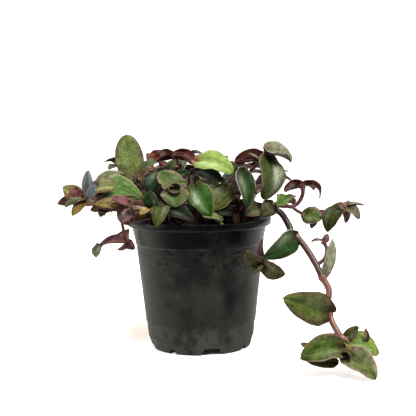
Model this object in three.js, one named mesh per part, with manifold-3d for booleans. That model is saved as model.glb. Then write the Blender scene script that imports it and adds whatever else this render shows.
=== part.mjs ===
// A tradescantia in a thin black nursery pot: the pot, its soil, a bit of bark and the leafy stems.
// Millimetres. +X is the right of the front view, +Y is away from the front, +Z is up.
// The origin is the middle of the pot's flat foot.

import * as THREE from 'three';
import { mergeVertices } from 'three/addons/utils/BufferGeometryUtils.js';
import Module from 'manifold-3d';

const wasm = await Module();
wasm.setup();

// Pot
const POT_HEIGHT = 94;
const LIP_RADIUS = 52.5;
const LIP_DEPTH = 5;
const LIP_WIDTH = 3.5;
const WALL = 1.3;
const COLLAR_FOOT_Z = 78.5;
const COLLAR_FOOT_RADIUS = 46.9;
const BODY_TOP_Z = 76;
const BODY_TOP_RADIUS = 46.2;
const BAND_Z = 18.7;
const BAND_RADIUS = 39.7;
const BAND_STEP = 0.5;
const CHAMFER_TOP_Z = 8;
const CHAMFER_TOP_RADIUS = 38.6;
const FOOT_RADIUS = 35.6;
const FLOOR_THICKNESS = 1.6;
const EDGE_ROUND = 0.6;
const SHOULDER = 1;
const POT_SIDES = 32;

// Drain notches round the foot, wide and narrow in turn
const NOTCHES = 8;
const FIRST_NOTCH_DEG = 11.3;
const WIDE_NOTCH = { foot: 16.4, top: 10.6, height: 5 };
const NARROW_NOTCH = { foot: 5.5, top: 4, height: 3.2 };
const NOTCH_INNER_RADIUS = 33;

// Soil
const SOIL_GAP = 0.3;
const SOIL_EDGE_Z = 89;
const SOIL_CROWN_Z = 92.5;
const SOIL_HEAP_DROP = 1;
const SOIL_HEAP_SHARE = 0.6;
const SOIL_RIM_WIDTH = 3;
const SOIL_RIM_DROP = 1.4;
const SOIL_SIDES = 20;
const ROOT_END_Z = 80;
const ROOT_TOP_Z = 94;

// Leaves and stems
const BLADE_THICKNESS = 0.8;
const BLADE_STATIONS = [0, 0.3, 0.66, 0.93];
const SMALL_STATIONS = [0, 0.36, 0.84];
const SMALL_WIDTH = 9.5;
const BLADE_SEAT = 0.06;
const BLADE_TAPER = 0.78;
const BLADE_ROUNDNESS = 0.6;
const RIPPLE = { height: 0.035, waves: 9, skew: 2 };
const STEM_SIDES = 5;
const STEM_STEP = 7.5;
const JOINT_SWELL = 1.22;
const CURVE_TENSION = 0.5;
const CLEARANCE = 0.3;
const TOUCH_VOLUME = 1e-6;

// Bark: one chip standing on the soil
const BARK = { x: 26, y: -24, length: 5.5, width: 4, height: 9, turn: 24, lean: 9 };

const vec = (p) => new THREE.Vector3(p[0], p[1], p[2]);
const DEGREE = Math.PI / 180;

// A closed body from rows of points and the triangles between them
function closedGeometry(points, triangles) {
  const geometry = new THREE.BufferGeometry();
  const flat = points.flatMap((p) => [p.x, p.y, p.z]);
  geometry.setAttribute('position', new THREE.Float32BufferAttribute(flat, 3));
  geometry.setIndex(triangles.flat());
  return geometry;
}

function toSolid(geometry) {
  const bare = geometry.clone();
  bare.deleteAttribute('normal');
  bare.deleteAttribute('uv');
  const merged = mergeVertices(bare, 1e-4);
  return new wasm.Manifold(new wasm.Mesh({
    numProp: 3,
    vertProperties: merged.attributes.position.array,
    triVerts: new Uint32Array(merged.index.array),
  }));
}

function toGeometry(solid) {
  const mesh = solid.getMesh();
  const geometry = new THREE.BufferGeometry();
  geometry.setAttribute('position', new THREE.BufferAttribute(mesh.vertProperties, 3));
  geometry.setIndex(new THREE.BufferAttribute(mesh.triVerts, 1));
  geometry.computeVertexNormals();
  return geometry;
}

// The biggest outer body of a solid: loose scraps go and sealed hollows are filled
function wholeBody(solid) {
  const bodies = solid.decompose();
  bodies.sort((a, b) => b.volume() - a.volume());
  return bodies[0];
}

function part(name, solid, color, roughness) {
  const material = new THREE.MeshStandardMaterial({ color, roughness, metalness: 0 });
  const mesh = new THREE.Mesh(toGeometry(solid), material);
  mesh.name = name;
  return mesh;
}

// Pot: a turned shell, thin all over, with the notches cut through its foot
function lathe(profile, sides) {
  const geometry = new THREE.LatheGeometry(profile.map((p) => new THREE.Vector2(p[0], p[1])), sides);
  geometry.rotateX(Math.PI / 2);
  return toSolid(geometry);
}

function notchCutter(notch, angle) {
  const outline = new THREE.Shape([
    new THREE.Vector2(-notch.foot / 2, -1),
    new THREE.Vector2(notch.foot / 2, -1),
    new THREE.Vector2(notch.top / 2, notch.height),
    new THREE.Vector2(-notch.top / 2, notch.height),
  ]);
  const depth = LIP_RADIUS - NOTCH_INNER_RADIUS;
  const wedge = new THREE.ExtrudeGeometry(outline, { depth, bevelEnabled: false });
  wedge.rotateX(Math.PI / 2);
  wedge.translate(0, -NOTCH_INNER_RADIUS, 0);
  wedge.rotateZ(angle);
  return toSolid(wedge);
}

function makePot() {
  const lipFoot = POT_HEIGHT - LIP_DEPTH;
  const collarTop = LIP_RADIUS - LIP_WIDTH;
  const outside = [
    [0, 0],
    [FOOT_RADIUS, 0],
    [CHAMFER_TOP_RADIUS - 1.5 * EDGE_ROUND, CHAMFER_TOP_Z - EDGE_ROUND],
    [CHAMFER_TOP_RADIUS, CHAMFER_TOP_Z],
    [BAND_RADIUS, BAND_Z],
    [BAND_RADIUS + BAND_STEP, BAND_Z + BAND_STEP],
    [BODY_TOP_RADIUS, BODY_TOP_Z],
    [COLLAR_FOOT_RADIUS, COLLAR_FOOT_Z],
    [collarTop, lipFoot - SHOULDER],
    [LIP_RADIUS - EDGE_ROUND, lipFoot],
    [LIP_RADIUS, lipFoot + SHOULDER],
    [LIP_RADIUS, POT_HEIGHT - EDGE_ROUND],
    [LIP_RADIUS - EDGE_ROUND, POT_HEIGHT],
  ];
  const inside = [
    [collarTop + WALL / 2, POT_HEIGHT],
    [collarTop - WALL, lipFoot - SHOULDER],
    [BODY_TOP_RADIUS - WALL, BODY_TOP_Z - SHOULDER],
    [CHAMFER_TOP_RADIUS - WALL, CHAMFER_TOP_Z],
    [FOOT_RADIUS - WALL, FLOOR_THICKNESS],
    [0, FLOOR_THICKNESS],
  ];
  let pot = lathe([...outside, ...inside], POT_SIDES);
  for (let i = 0; i < NOTCHES; i += 1) {
    const angle = (FIRST_NOTCH_DEG + (i * 360) / NOTCHES) * DEGREE;
    pot = pot.subtract(notchCutter(i % 2 ? NARROW_NOTCH : WIDE_NOTCH, angle));
  }
  return pot;
}

// Soil: fills the pot and is heaped a little in the middle, with a plain hole for each stem
const RIM_INSIDE = LIP_RADIUS - LIP_WIDTH - WALL - SOIL_GAP;
const SOIL_TOP = [
  [RIM_INSIDE - SOIL_GAP, SOIL_EDGE_Z - SOIL_RIM_DROP],
  [RIM_INSIDE - SOIL_RIM_WIDTH, SOIL_EDGE_Z],
  [RIM_INSIDE * SOIL_HEAP_SHARE, SOIL_CROWN_Z - SOIL_HEAP_DROP],
  [0, SOIL_CROWN_Z],
];

function soilHeight(radius) {
  const i = SOIL_TOP.findIndex((point) => point[0] <= radius);
  const [outerRadius, outerZ] = SOIL_TOP[i - 1];
  const [innerRadius, innerZ] = SOIL_TOP[i];
  return innerZ + ((outerZ - innerZ) * (radius - innerRadius)) / (outerRadius - innerRadius);
}

function makeSoil(shoots) {
  const inset = WALL + 2 * SOIL_GAP;
  let soil = lathe([
    [0, FLOOR_THICKNESS + SOIL_GAP],
    [FOOT_RADIUS - inset, FLOOR_THICKNESS + SOIL_GAP],
    [CHAMFER_TOP_RADIUS - inset, CHAMFER_TOP_Z],
    [BODY_TOP_RADIUS - inset, BODY_TOP_Z - SHOULDER],
    ...SOIL_TOP,
  ], SOIL_SIDES);
  const depth = POT_HEIGHT;
  for (const { stems } of shoots) {
    const [x, y] = stems[0].points[0];
    const hole = new THREE.CylinderGeometry(1, 1, depth, STEM_SIDES);
    const reach = (stems[0].thick + SOIL_GAP) / Math.cos(Math.PI / STEM_SIDES);
    hole.scale(reach, 1, reach);
    hole.rotateX(Math.PI / 2);
    hole.translate(x, y, ROOT_END_Z - SOIL_GAP + depth / 2);
    soil = soil.subtract(toSolid(hole));
  }
  return soil;
}

// Bark: a rough lump, seated just clear of the soil
function makeBark() {
  const chip = new THREE.IcosahedronGeometry(1, 1);
  chip.scale(BARK.length / 2, BARK.width / 2, BARK.height / 2);
  chip.rotateX(BARK.lean * DEGREE);
  chip.rotateZ(BARK.turn * DEGREE);
  chip.computeBoundingBox();
  const seat = soilHeight(Math.hypot(BARK.x, BARK.y)) + CLEARANCE;
  chip.translate(BARK.x, BARK.y, seat - chip.boundingBox.min.z);
  return toSolid(chip);
}

// Stem: a tube that narrows to its end and swells at each joint
function stemCurve(points) {
  return new THREE.CatmullRomCurve3(points.map(vec), false, 'catmullrom', CURVE_TENSION);
}

function tube(centres, radii, sides) {
  const last = centres.length - 1;
  const points = [];
  const triangles = [];
  let side = new THREE.Vector3(1, 0, 0);
  centres.forEach((centre, i) => {
    const ahead = centres[Math.min(i + 1, last)];
    const behind = centres[Math.max(i - 1, 0)];
    const along = ahead.clone().sub(behind).normalize();
    side = side.clone().addScaledVector(along, -side.dot(along)).normalize();
    const up = along.clone().cross(side);
    for (let k = 0; k < sides; k += 1) {
      const turn = (k * 2 * Math.PI) / sides;
      const out = side.clone().multiplyScalar(Math.cos(turn)).addScaledVector(up, Math.sin(turn));
      points.push(centre.clone().addScaledVector(out, radii[i]));
    }
  });
  for (let i = 0; i < last; i += 1) {
    for (let k = 0; k < sides; k += 1) {
      const a = i * sides + k;
      const b = i * sides + ((k + 1) % sides);
      triangles.push([a, b, b + sides], [a, b + sides, a + sides]);
    }
  }
  for (let k = 1; k < sides - 1; k += 1) {
    const end = last * sides;
    triangles.push([0, k + 1, k], [end, end + k, end + k + 1]);
  }
  return closedGeometry(points, triangles);
}

function stemSolid({ points, thick, thin, rooted }) {
  const above = rooted ? points.slice(1) : points;
  const curve = stemCurve(above);
  const steps = Math.max(2, Math.round(curve.getLength() / STEM_STEP));
  const centres = rooted ? [vec(points[0])] : [];
  const radii = rooted ? [thick] : [];
  for (let i = 0; i <= steps; i += 1) {
    const share = i / steps;
    const swell = i % 2 ? JOINT_SWELL : 1;
    centres.push(curve.getPoint(share));
    radii.push((thick + (thin - thick) * share) * (rooted && i === 0 ? 1 : swell));
  }
  return toSolid(tube(centres, radii, STEM_SIDES));
}

// Leaf: an ovate blade folded along its midrib, from its seat inside the stem to its tip
function bladeShape({ base, tip, width, facing, arch, fold, form }) {
  const [roundness, taper] = form;
  const chord = tip.clone().sub(base);
  const length = chord.length();
  const along = chord.normalize();
  const up = facing.clone().addScaledVector(along, -facing.dot(along)).normalize();
  const side = along.clone().cross(up);
  const rise = fold * DEGREE;
  return (share, across) => {
    const arc = 4 * share * (1 - share);
    const slope = 4 * arch * (1 - 2 * share);
    const middle = base.clone().addScaledVector(along, length * share);
    middle.addScaledVector(up, length * arch * arc);
    const normal = up.clone().addScaledVector(along, -slope).normalize();
    const run = BLADE_SEAT + (1 - BLADE_SEAT) * share ** taper;
    const half = (width / 2) * Math.max(Math.sin(Math.PI * run), 0) ** roundness;
    const lean = Math.sign(across) * rise;
    const reach = side.clone().multiplyScalar(Math.cos(lean)).addScaledVector(normal, Math.sin(lean));
    const out = normal.clone().multiplyScalar(Math.cos(lean)).addScaledVector(side, -Math.sin(lean));
    const wave = Math.sin(RIPPLE.waves * share + RIPPLE.skew * across) * Math.abs(across);
    const ripple = width * RIPPLE.height * wave;
    const point = middle.addScaledVector(reach, half * across).addScaledVector(out, ripple);
    return { point, out };
  };
}

function bladeGeometry(leaf, grow) {
  const shape = bladeShape({ ...leaf, width: leaf.width + 2 * grow });
  const above = BLADE_THICKNESS / 2 + grow;
  const stations = leaf.width < SMALL_WIDTH ? SMALL_STATIONS : BLADE_STATIONS;
  const points = [];
  const triangles = [];
  for (const share of stations) {
    for (const across of [-1, 0, 1]) {
      const { point, out } = shape(share, across);
      points.push(point.clone().addScaledVector(out, above), point.clone().addScaledVector(out, -above));
    }
  }
  points.push(shape(1, 0).point);
  const tip = points.length - 1;
  const rows = stations.length;
  const at = (row, column, under) => row * 6 + column * 2 + under;
  for (let row = 0; row < rows - 1; row += 1) {
    for (const [left, right] of [[0, 1], [1, 2]]) {
      const top = [at(row, left, 0), at(row, right, 0), at(row + 1, right, 0), at(row + 1, left, 0)];
      const low = top.map((i) => i + 1);
      triangles.push([top[0], top[1], top[2]], [top[0], top[2], top[3]]);
      triangles.push([low[0], low[2], low[1]], [low[0], low[3], low[2]]);
    }
    const edges = [[at(row + 1, 0, 0), at(row, 0, 0)], [at(row, 2, 0), at(row + 1, 2, 0)]];
    for (const [from, to] of edges) {
      triangles.push([from, from + 1, to + 1], [from, to + 1, to]);
    }
  }
  for (const [left, right] of [[0, 1], [1, 2]]) {
    const near = at(rows - 1, left, 0);
    const far = at(rows - 1, right, 0);
    triangles.push([near, far, tip], [near + 1, tip, far + 1]);
    triangles.push([left * 2, left * 2 + 1, right * 2 + 1], [left * 2, right * 2 + 1, right * 2]);
  }
  const start = at(rows - 1, 0, 0);
  const end = at(rows - 1, 2, 0);
  triangles.push([start, tip, start + 1], [end, end + 1, tip]);
  return closedGeometry(points, triangles);
}

const bladeSolid = (leaf, grow = 0) => toSolid(bladeGeometry(leaf, grow));

// Each leaf lies where it grows; if a neighbour is in its way it turns or tips to the next lie
const LIES = [
  [0, 0], [8, 0], [-8, 0], [0, 9], [0, -9], [15, 6], [-15, 6], [15, -9], [-15, -9], [0, 20], [0, -20],
];

function laid(leaf, [turn, tip]) {
  const chord = leaf.tip.clone().sub(leaf.base);
  const along = chord.clone().normalize();
  const up = leaf.facing.clone().addScaledVector(along, -leaf.facing.dot(along)).normalize();
  const side = along.clone().cross(up);
  chord.applyAxisAngle(side, tip * DEGREE).applyAxisAngle(up, turn * DEGREE);
  const facing = up.applyAxisAngle(side, tip * DEGREE);
  return { ...leaf, tip: leaf.base.clone().add(chord), facing };
}

// Stems by hand. A stem is a list of points; a leaf row gives the point it grows from, its tip,
// its width, the way its upper face looks, its arch and its fold in degrees, and for a leaf
// unlike the rest its own roundness and taper.
const stem = (thick, thin, points, leaves) => ({ thick, thin, points, leaves });

const SHOOTS = [
  { name: 'stem_trailing', color: '#5d4a3a', stems: [
    stem(2.4, 2.1, [[38, 2, 80], [38, 2, 94], [45, -3, 99], [52, -8, 99.5], [57, -14, 98.5], [60, -21, 95],
      [63, -27, 89], [64, -30, 85], [68, -34, 82], [74, -41, 74], [79, -48, 65], [82, -53, 58],
      [86, -58, 50], [85, -63, 41], [86, -68, 32], [91, -76, 22], [94, -79, 18],
      [93, -85, 12]], [
      [7.7, [43, -52, 71], 16.5, [-0.35, -0.85, -0.2], 0.14, 14],
      [11.1, [90, -48, 83], 10, [0.5, -0.85, 0], 0.08, 16],
      [13.6, [53, -81, 49], 22.5, [-0.2, -0.9, 0.2], 0.12, 12],
      [16.6, [63, -91, 11], 22, [-0.05, -0.66, 0.75], 0.14, 22],
      [17, [109, -106, 1.5], 20, [-0.25, -0.5, 0.8], 0.1, 28],
      [16, [115, -82, 11], 20, [0.25, -0.62, 0.75], 0.16, 14],
      [15.7, [103, -75, 28], 8, [-0.3, -0.8, 0.5], 0.08, 24],
      [15.2, [72, -70, 16], 7, [-0.2, -0.3, 0.9], 0.12, 22],
    ]),
    stem(1.4, 1.2, [[64, -30, 85], [58, -36, 78], [51, -42, 73], [45, -46, 69], [42, -48, 67]], [
      [4, [43, -44, 83], 9, [0.8, 0.5, 0.1], -0.22, 26],
      [4, [31, -53, 76], 14, [-0.3, -0.8, -0.4], 0.1, 20],
      [4, [57, -58, 61], 15, [0.2, -0.85, -0.4], 0.12, 14],
      [4, [36, -52, 60], 9, [-0.3, -0.6, 0.6], 0.1, 20],
    ]),
    stem(1.5, 1.3, [[79, -48, 65], [85, -46, 69], [87, -42, 75], [85, -40, 80]], [
      [3, [76, -42, 80], 5, [0, -0.3, 1], 0.1, 25],
      [3, [88, -39, 85], 6, [0.3, -0.8, 0.3], 0.1, 30],
    ]),
  ] },
  { name: 'stem_right_arm', color: '#5b4148', stems: [
    stem(1.7, 1.4, [[40, 9, 80], [40, 9, 94], [46, 7, 99], [53, 3, 101], [58, 0, 101.5], [63, -2, 101.5],
      [67, -4, 101], [72, -4, 104], [75, -4, 110], [75, -4, 117]], [
      [9, [62, 0, 112], 10, [0, 0.8, 0.6], 0.1, 26, [0.5, 0.8]],
      [9, [86, -12, 107.5], 9, [0.5, 0.5, 0.6], 0.34, 24],
      [8.6, [84, 6, 112], 10, [0.3, 0.2, 0.9], 0.2, 22],
      [4.6, [64, 14, 106], 13, [0.2, 0.1, 0.95], 0.18, 18],
    ]),
    stem(1.3, 1, [[67, -4, 101], [71, -6, 98], [75, -8, 96], [80, -9, 95], [85, -10, 95], [90, -11, 96],
      [95, -12, 98], [100, -13, 100], [104, -13, 101]], [
      [2, [87, -16, 93], 13, [0, -0.95, 0.2], 0.06, 10],
      [4, [79, -4, 99], 7, [0, -0.5, 0.8], 0.2, 24],
      [4, [80, -13, 86], 7, [-0.2, -0.7, 0.4], 0.1, 24],
      [7.4, [90.5, -20, 84], 15, [-0.6, -0.75, 0.2], 0.24, 12],
      [7, [110, -5, 102], 8, [0, 0.3, 0.9], 0.15, 26],
      [8, [104, -17, 90], 7, [0.3, -0.9, 0], 0.1, 24],
      [8, [118, -14, 102], 6.5, [0, -0.2, 1], 0.06, 36],
      [8, [113, -21, 93], 11, [0.4, -0.7, 0.5], 0.12, 18],
    ]),
  ] },
  { name: 'stem_centre_right', color: '#4f5a32', stems: [
    stem(1.5, 1.2, [[26, 2, 80], [26, 2, 94], [28, 0, 105], [31, -2, 116], [36, -6, 126], [42, -13, 133],
      [47, -19, 138]], [
      [6, [44.5, -29, 109], 24, [0.6, -0.8, 0], 0.22, 14, [0.55, 0.8]],
      [6, [65, -19, 134], 23, [-0.15, -0.4, 0.9], 0.12, 46, [0.42, 0.5]],
      [5.9, [26, -3, 133], 14, [0, 0.85, 0.5], 0.08, 32, [0.45, 0.9]],
      [3.2, [18, 6, 124], 13, [-0.2, -0.6, 0.75], 0.15, 18],
      [4.4, [54, 6, 122], 15, [0.4, -0.2, 0.85], 0.18, 18],
    ]),
  ] },
  { name: 'stem_hanging_leaf', color: '#48602f', stems: [
    stem(1.3, 1.1, [[20, -12, 80], [20, -12, 94], [15.5, -20, 106], [22, -27, 119], [29, -31, 130]], [
      [4, [33, -41, 105], 14, [0.35, -0.9, 0.1], 0.12, 16],
      [4, [31, -22, 129], 7, [0, -0.5, 0.8], 0.1, 20],
      [2.5, [40, -16, 114], 13, [0.2, -0.6, 0.8], 0.15, 18],
      [2.8, [6.5, -36, 102], 17, [0, -0.9, 0.4], 0.1, 10],
    ]),
  ] },
  { name: 'stem_yellow_leaf', color: '#7d7a35', stems: [
    stem(1.3, 1.1, [[-3, -8, 80], [-3, -8, 94], [-3, -12, 108], [-3, -16, 121], [-1.6, -20, 134.5]], [
      [4, [23.4, -29, 127.6], 18, [0.1, -0.75, 0.6], 0.2, 20, [0.45, 0.8]],
      [3.6, [17, -30, 121], 12, [0, -0.8, 0.6], 0.14, 16],
      [2.4, [-14, -4, 118], 12, [-0.2, -0.5, 0.8], 0.18, 18],
      [2.2, [12, -4, 118], 13, [0.2, -0.5, 0.8], 0.18, 18],
    ]),
  ] },
  { name: 'stem_arching', color: '#54353b', stems: [
    stem(1.3, 1.1, [[-12, 6, 80], [-12, 6, 94], [-14, 6, 110], [-17, 5, 128], [-18, 5, 139]], [
      [4, [-32, 4, 134], 11, [0, 0.85, 0.6], 0.2, 24],
      [4, [-2, 1, 131], 12, [0, 0.85, 0.6], 0.28, 22],
      [3, [-22.8, -5, 131], 10, [-0.1, -0.6, 0.75], 0.15, 20],
      [2.3, [-2, 18, 122], 14, [0.1, -0.2, 0.95], 0.2, 18],
    ]),
  ] },
  { name: 'stem_arching_left', color: '#5a3f3a', stems: [
    stem(1.3, 1.1, [[-24, 11, 80], [-24, 11, 94], [-28, 13, 110], [-32, 13, 124], [-35, 11, 132]], [
      [4, [-35, 1, 140], 11, [-0.3, -0.75, 0.6], 0.12, 20],
      [4, [-43, -2, 129], 10, [-0.2, -0.7, 0.6], 0.12, 22],
      [3.4, [-21, -4, 129], 10, [0, -0.6, 0.8], 0.16, 18],
      [3, [-50, 20, 122], 14, [-0.3, -0.1, 0.9], 0.2, 18],
    ]),
  ] },
  { name: 'stem_speckled_leaf', color: '#6f7444', stems: [
    stem(1.4, 1.2, [[-28, -2, 80], [-28, -2, 94], [-36, -4, 104], [-44, -6, 113], [-47.5, -8, 121]], [
      [4, [-52, -3, 154.8], 20.5, [0.05, -1, 0.1], -0.04, 8, [0.5, 1.05]],
      [3, [-33, -18, 120], 12, [0.1, -0.7, 0.7], 0.14, 18],
      [2.6, [-26, -12, 104], 12, [0.3, -0.6, 0.7], 0.14, 18],
    ]),
  ] },
  { name: 'stem_back_left', color: '#4d3f33', stems: [
    stem(1.3, 1.1, [[-26, 22, 80], [-26, 22, 94], [-35, 18, 108], [-45, 13, 120], [-56, 8, 130]], [
      [4, [-68, 4, 135], 9, [-0.1, 0.5, 0.85], 0.2, 28],
      [4, [-64, -8, 130], 11, [-0.2, -0.5, 0.8], 0.1, 20],
      [3, [-66, 26, 112], 15, [-0.4, 0.1, 0.9], 0.2, 16],
      [2.4, [-34, 36, 116], 15, [-0.1, 0.4, 0.9], 0.2, 16],
    ]),
  ] },
  { name: 'stem_bright_left', color: '#4c7a35', stems: [
    stem(1.4, 1.1, [[-36, -11, 80], [-36, -11, 94], [-45, -13, 103], [-56, -16, 110], [-66, -19, 115],
      [-72, -23, 118], [-75, -26, 112]], [
      [5, [-39.5, -37, 111], 23, [0.1, -0.7, 0.65], 0.12, 8],
      [5.4, [-57.2, -40, 119.8], 16.5, [0, -0.85, 0.5], 0.14, 12, [0.45, 0.55]],
      [6, [-76.5, -31, 131], 12, [-0.5, -0.8, 0], 0.05, 16],
      [5, [-54, -10, 127.5], 11, [0, -0.5, 0.8], 0.16, 18],
      [4.6, [-82, -31, 106], 9, [-0.4, -0.8, 0.4], 0.12, 20],
    ]),
  ] },
  { name: 'stem_far_left', color: '#5e4a38', stems: [
    stem(1.4, 1.1, [[-37, -20, 80], [-37, -20, 94], [-45, -23, 101], [-58, -26, 103], [-70, -28, 106],
      [-76, -30, 108.5], [-80, -31, 111.5]], [
      [6, [-94, -35, 119.5], 13, [-0.1, -0.85, 0.5], -0.12, 22, [0.5, 0.9]],
      [6, [-98.5, -30, 108], 9, [-0.3, -0.85, 0.4], 0.1, 16],
      [6, [-92.5, -38, 106], 7, [-0.3, -0.7, 0.6], 0.12, 20],
      [5.6, [-87.9, -36, 100.1], 8, [-0.3, -0.9, 0.2], 0.12, 16],
      [6, [-88.5, -40, 117], 7, [0, 0.85, 0.3], 0.16, 16],
      [3.5, [-68, -38, 99], 10, [-0.1, -0.7, 0.6], 0.16, 20],
    ]),
  ] },
  { name: 'stem_left_mid', color: '#68443f', stems: [
    stem(1.4, 1.1, [[-28, -24, 80], [-28, -24, 94], [-36, -30, 101], [-45, -36, 104], [-54, -39, 104],
      [-62, -39, 104]], [
      [5, [-75, -37, 104], 10, [0, -0.7, 0.7], 0.14, 20],
      [3, [-62, -46, 111], 11, [0.3, 0.8, 0.5], 0.14, 20],
      [3, [-35, -47, 107], 10, [0.2, 0.7, 0.6], 0.14, 24],
      [4, [-47, -46, 94.5], 10, [-0.5, -0.8, 0.1], 0.1, 16],
      [2, [-52, -45, 98], 10, [0, -0.6, 0.8], 0.2, 20],
    ]),
  ] },
  { name: 'stem_left_drooping', color: '#5c3340', stems: [
    stem(1.3, 1.1, [[-37, -6, 80], [-37, -6, 94], [-46, -8, 100.5], [-52.5, -9, 99.5], [-55.5, -10, 94.5],
      [-55, -10.5, 88], [-53, -11, 82], [-52, -11, 78]], [
      [6.6, [-50.5, -16.5, 88], 8, [-0.3, -0.85, 0.3], 0.12, 26],
      [6.8, [-72, -13, 76], 8.5, [0, 0.85, 0.5], 0.18, 20],
      [7, [-46.5, -15.5, 73.5], 7.5, [0.3, -0.8, -0.3], 0.1, 20],
      [7, [-59, -15, 73], 6, [0, -0.7, -0.5], 0.1, 24],
    ]),
    stem(1.1, 0.8, [[-54.5, -10.6, 86], [-60, -10, 82.5], [-66.5, -10, 79], [-72, -10, 76]], [
      [3, [-74.3, -15, 67.6], 9, [-0.5, -0.85, 0], 0.16, 12],
    ]),
  ] },
  { name: 'stem_front_rosette', color: '#4e5c38', stems: [
    stem(1.3, 1.1, [[-10, -22, 80], [-10, -22, 94], [-13, -28, 103], [-16, -33, 111], [-17, -36, 117]], [
      [4, [-16, -47, 106], 19.5, [0, -0.8, 0.6], 0.1, 10],
      [4, [-26.6, -31, 129.5], 21, [0.45, -0.75, 0.45], -0.06, 26, [0.5, 0.7]],
      [3, [-31, -36, 111], 13, [-0.2, -0.8, 0.5], 0.14, 18],
      [2, [-5, -48, 97], 14, [0.1, -0.85, 0.45], 0.16, 16],
      [2.6, [-26, -33, 106], 11, [-0.1, -0.8, 0.5], 0.14, 18],
    ]),
  ] },
  { name: 'stem_front_green', color: '#4f8336', stems: [
    stem(1.3, 1.1, [[2, -22, 80], [2, -22, 94], [0, -30, 105], [-1.5, -35, 113], [-3, -38, 120]], [
      [4, [7.6, -49, 100], 17, [-0.15, -0.9, 0.4], 0.12, 10],
      [1.5, [15.3, -47.5, 96.8], 7, [0, -0.5, 0.85], 0.1, 24],
      [1.6, [25, -37, 102], 12, [0.1, -0.8, 0.5], 0.14, 18],
    ]),
  ] },
  { name: 'stem_front_low', color: '#5b6636', stems: [
    stem(1.2, 1, [[-18, -32, 80], [-18, -32, 94], [-20, -38, 101], [-24, -43, 107], [-29, -45, 107],
      [-34, -46, 104]], [
      [3, [-29, -55, 94], 12, [-0.1, -0.85, 0.5], 0.2, 16],
      [5, [-40, -55, 98], 8, [-0.2, -0.8, 0.5], 0.16, 18],
      [2.4, [-4, -51, 96.5], 12, [0, -0.75, 0.65], 0.14, 16],
      [4.6, [-34, -47, 117.5], 11, [-0.1, -0.95, 0.2], 0.1, 18],
    ]),
  ] },
  { name: 'stem_dark_leaf', color: '#3c4a35', stems: [
    stem(1.3, 1.1, [[-16, -10, 80], [-16, -10, 94], [-18, -15, 105], [-21, -20, 116], [-24, -22, 128]], [
      [4, [-36.6, -26.5, 113.7], 17, [-0.3, -0.8, 0.5], 0.14, 12],
      [3, [-8, -28, 121], 12, [0.2, -0.7, 0.65], 0.14, 18],
      [2, [-36, -20, 106], 13, [-0.2, -0.7, 0.7], 0.14, 18],
    ]),
  ] },
  { name: 'stem_right_low', color: '#4c5334', stems: [
    stem(1.3, 1, [[34, -15, 80], [34, -15, 94], [40, -19, 99], [48, -22, 103], [56, -23, 106],
      [61, -22, 108]], [
      [3.4, [42.9, -34, 97.4], 13, [0.1, -0.95, 0.3], 0.12, 14],
      [2.2, [27, -30, 107], 11, [0, -0.8, 0.6], 0.12, 16],
      [5, [54, -33, 104], 11, [0, -0.8, 0.6], 0.12, 34],
      [5, [69, -19, 109], 6, [0.2, -0.3, 0.9], 0.12, 24],
      [2.6, [31, -36, 98.5], 12, [0.1, -0.85, 0.5], 0.12, 16],
    ]),
  ] },
];

// Stems by rule: the back and the middle, each leaning outward and nodding at its end,
// with leaves in turn on its two sides
const RULE_SHOOTS = [
  { x: -36, y: 10, lean: 30, height: 24, turn: 14, size: 24 },
  { x: -14, y: 34, lean: 26, height: 24, turn: -12, size: 25 },
  { x: 4, y: 38, lean: 28, height: 18, turn: 16, size: 24 },
  { x: 20, y: 34, lean: 27, height: 26, turn: -8, size: 25 },
  { x: 34, y: 22, lean: 30, height: 22, turn: 10, size: 24 },
  { x: 2, y: 24, lean: 14, height: 36, turn: -24, size: 24 },
  { x: 16, y: 12, lean: 20, height: 30, turn: 24, size: 22 },
  { x: -10, y: 20, lean: 12, height: 34, turn: 10, size: 22 },
];
const RISE = [[0.22, 0.45], [0.5, 0.82], [0.8, 1], [1.05, 0.82]];
const RULE_STEM = { thick: 1.4, thin: 1.1 };
const LEAF_SPACING = 0.66;
const FIRST_LEAF = 1.7;
const LEAF_LENGTH = [0.85, 1.15];
const LEAF_WIDTH = [0.53, 0.71];
const LEAF_AHEAD = [0.5, 0.8];
const LEAF_ASIDE = [0.66, 1.1];
const LEAF_LIFT = [-0.09, 0.26];
const LEAF_TILT = [-0.15, 0.15];
const LEAF_OUTWARD = 0.2;
const LEAF_ARCH = [0.14, 0.24];
const LEAF_FOLD = [12, 22];
const FIRST_SEED = 23757;
const SEED_STEP = 7919;

// The same draws for the same seed
function draws(seed) {
  const range = 2147483647;
  const factor = 16807;
  let state = seed;
  return ([low, high]) => {
    state = (state * factor) % range;
    return low + ((high - low) * state) / range;
  };
}

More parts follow.
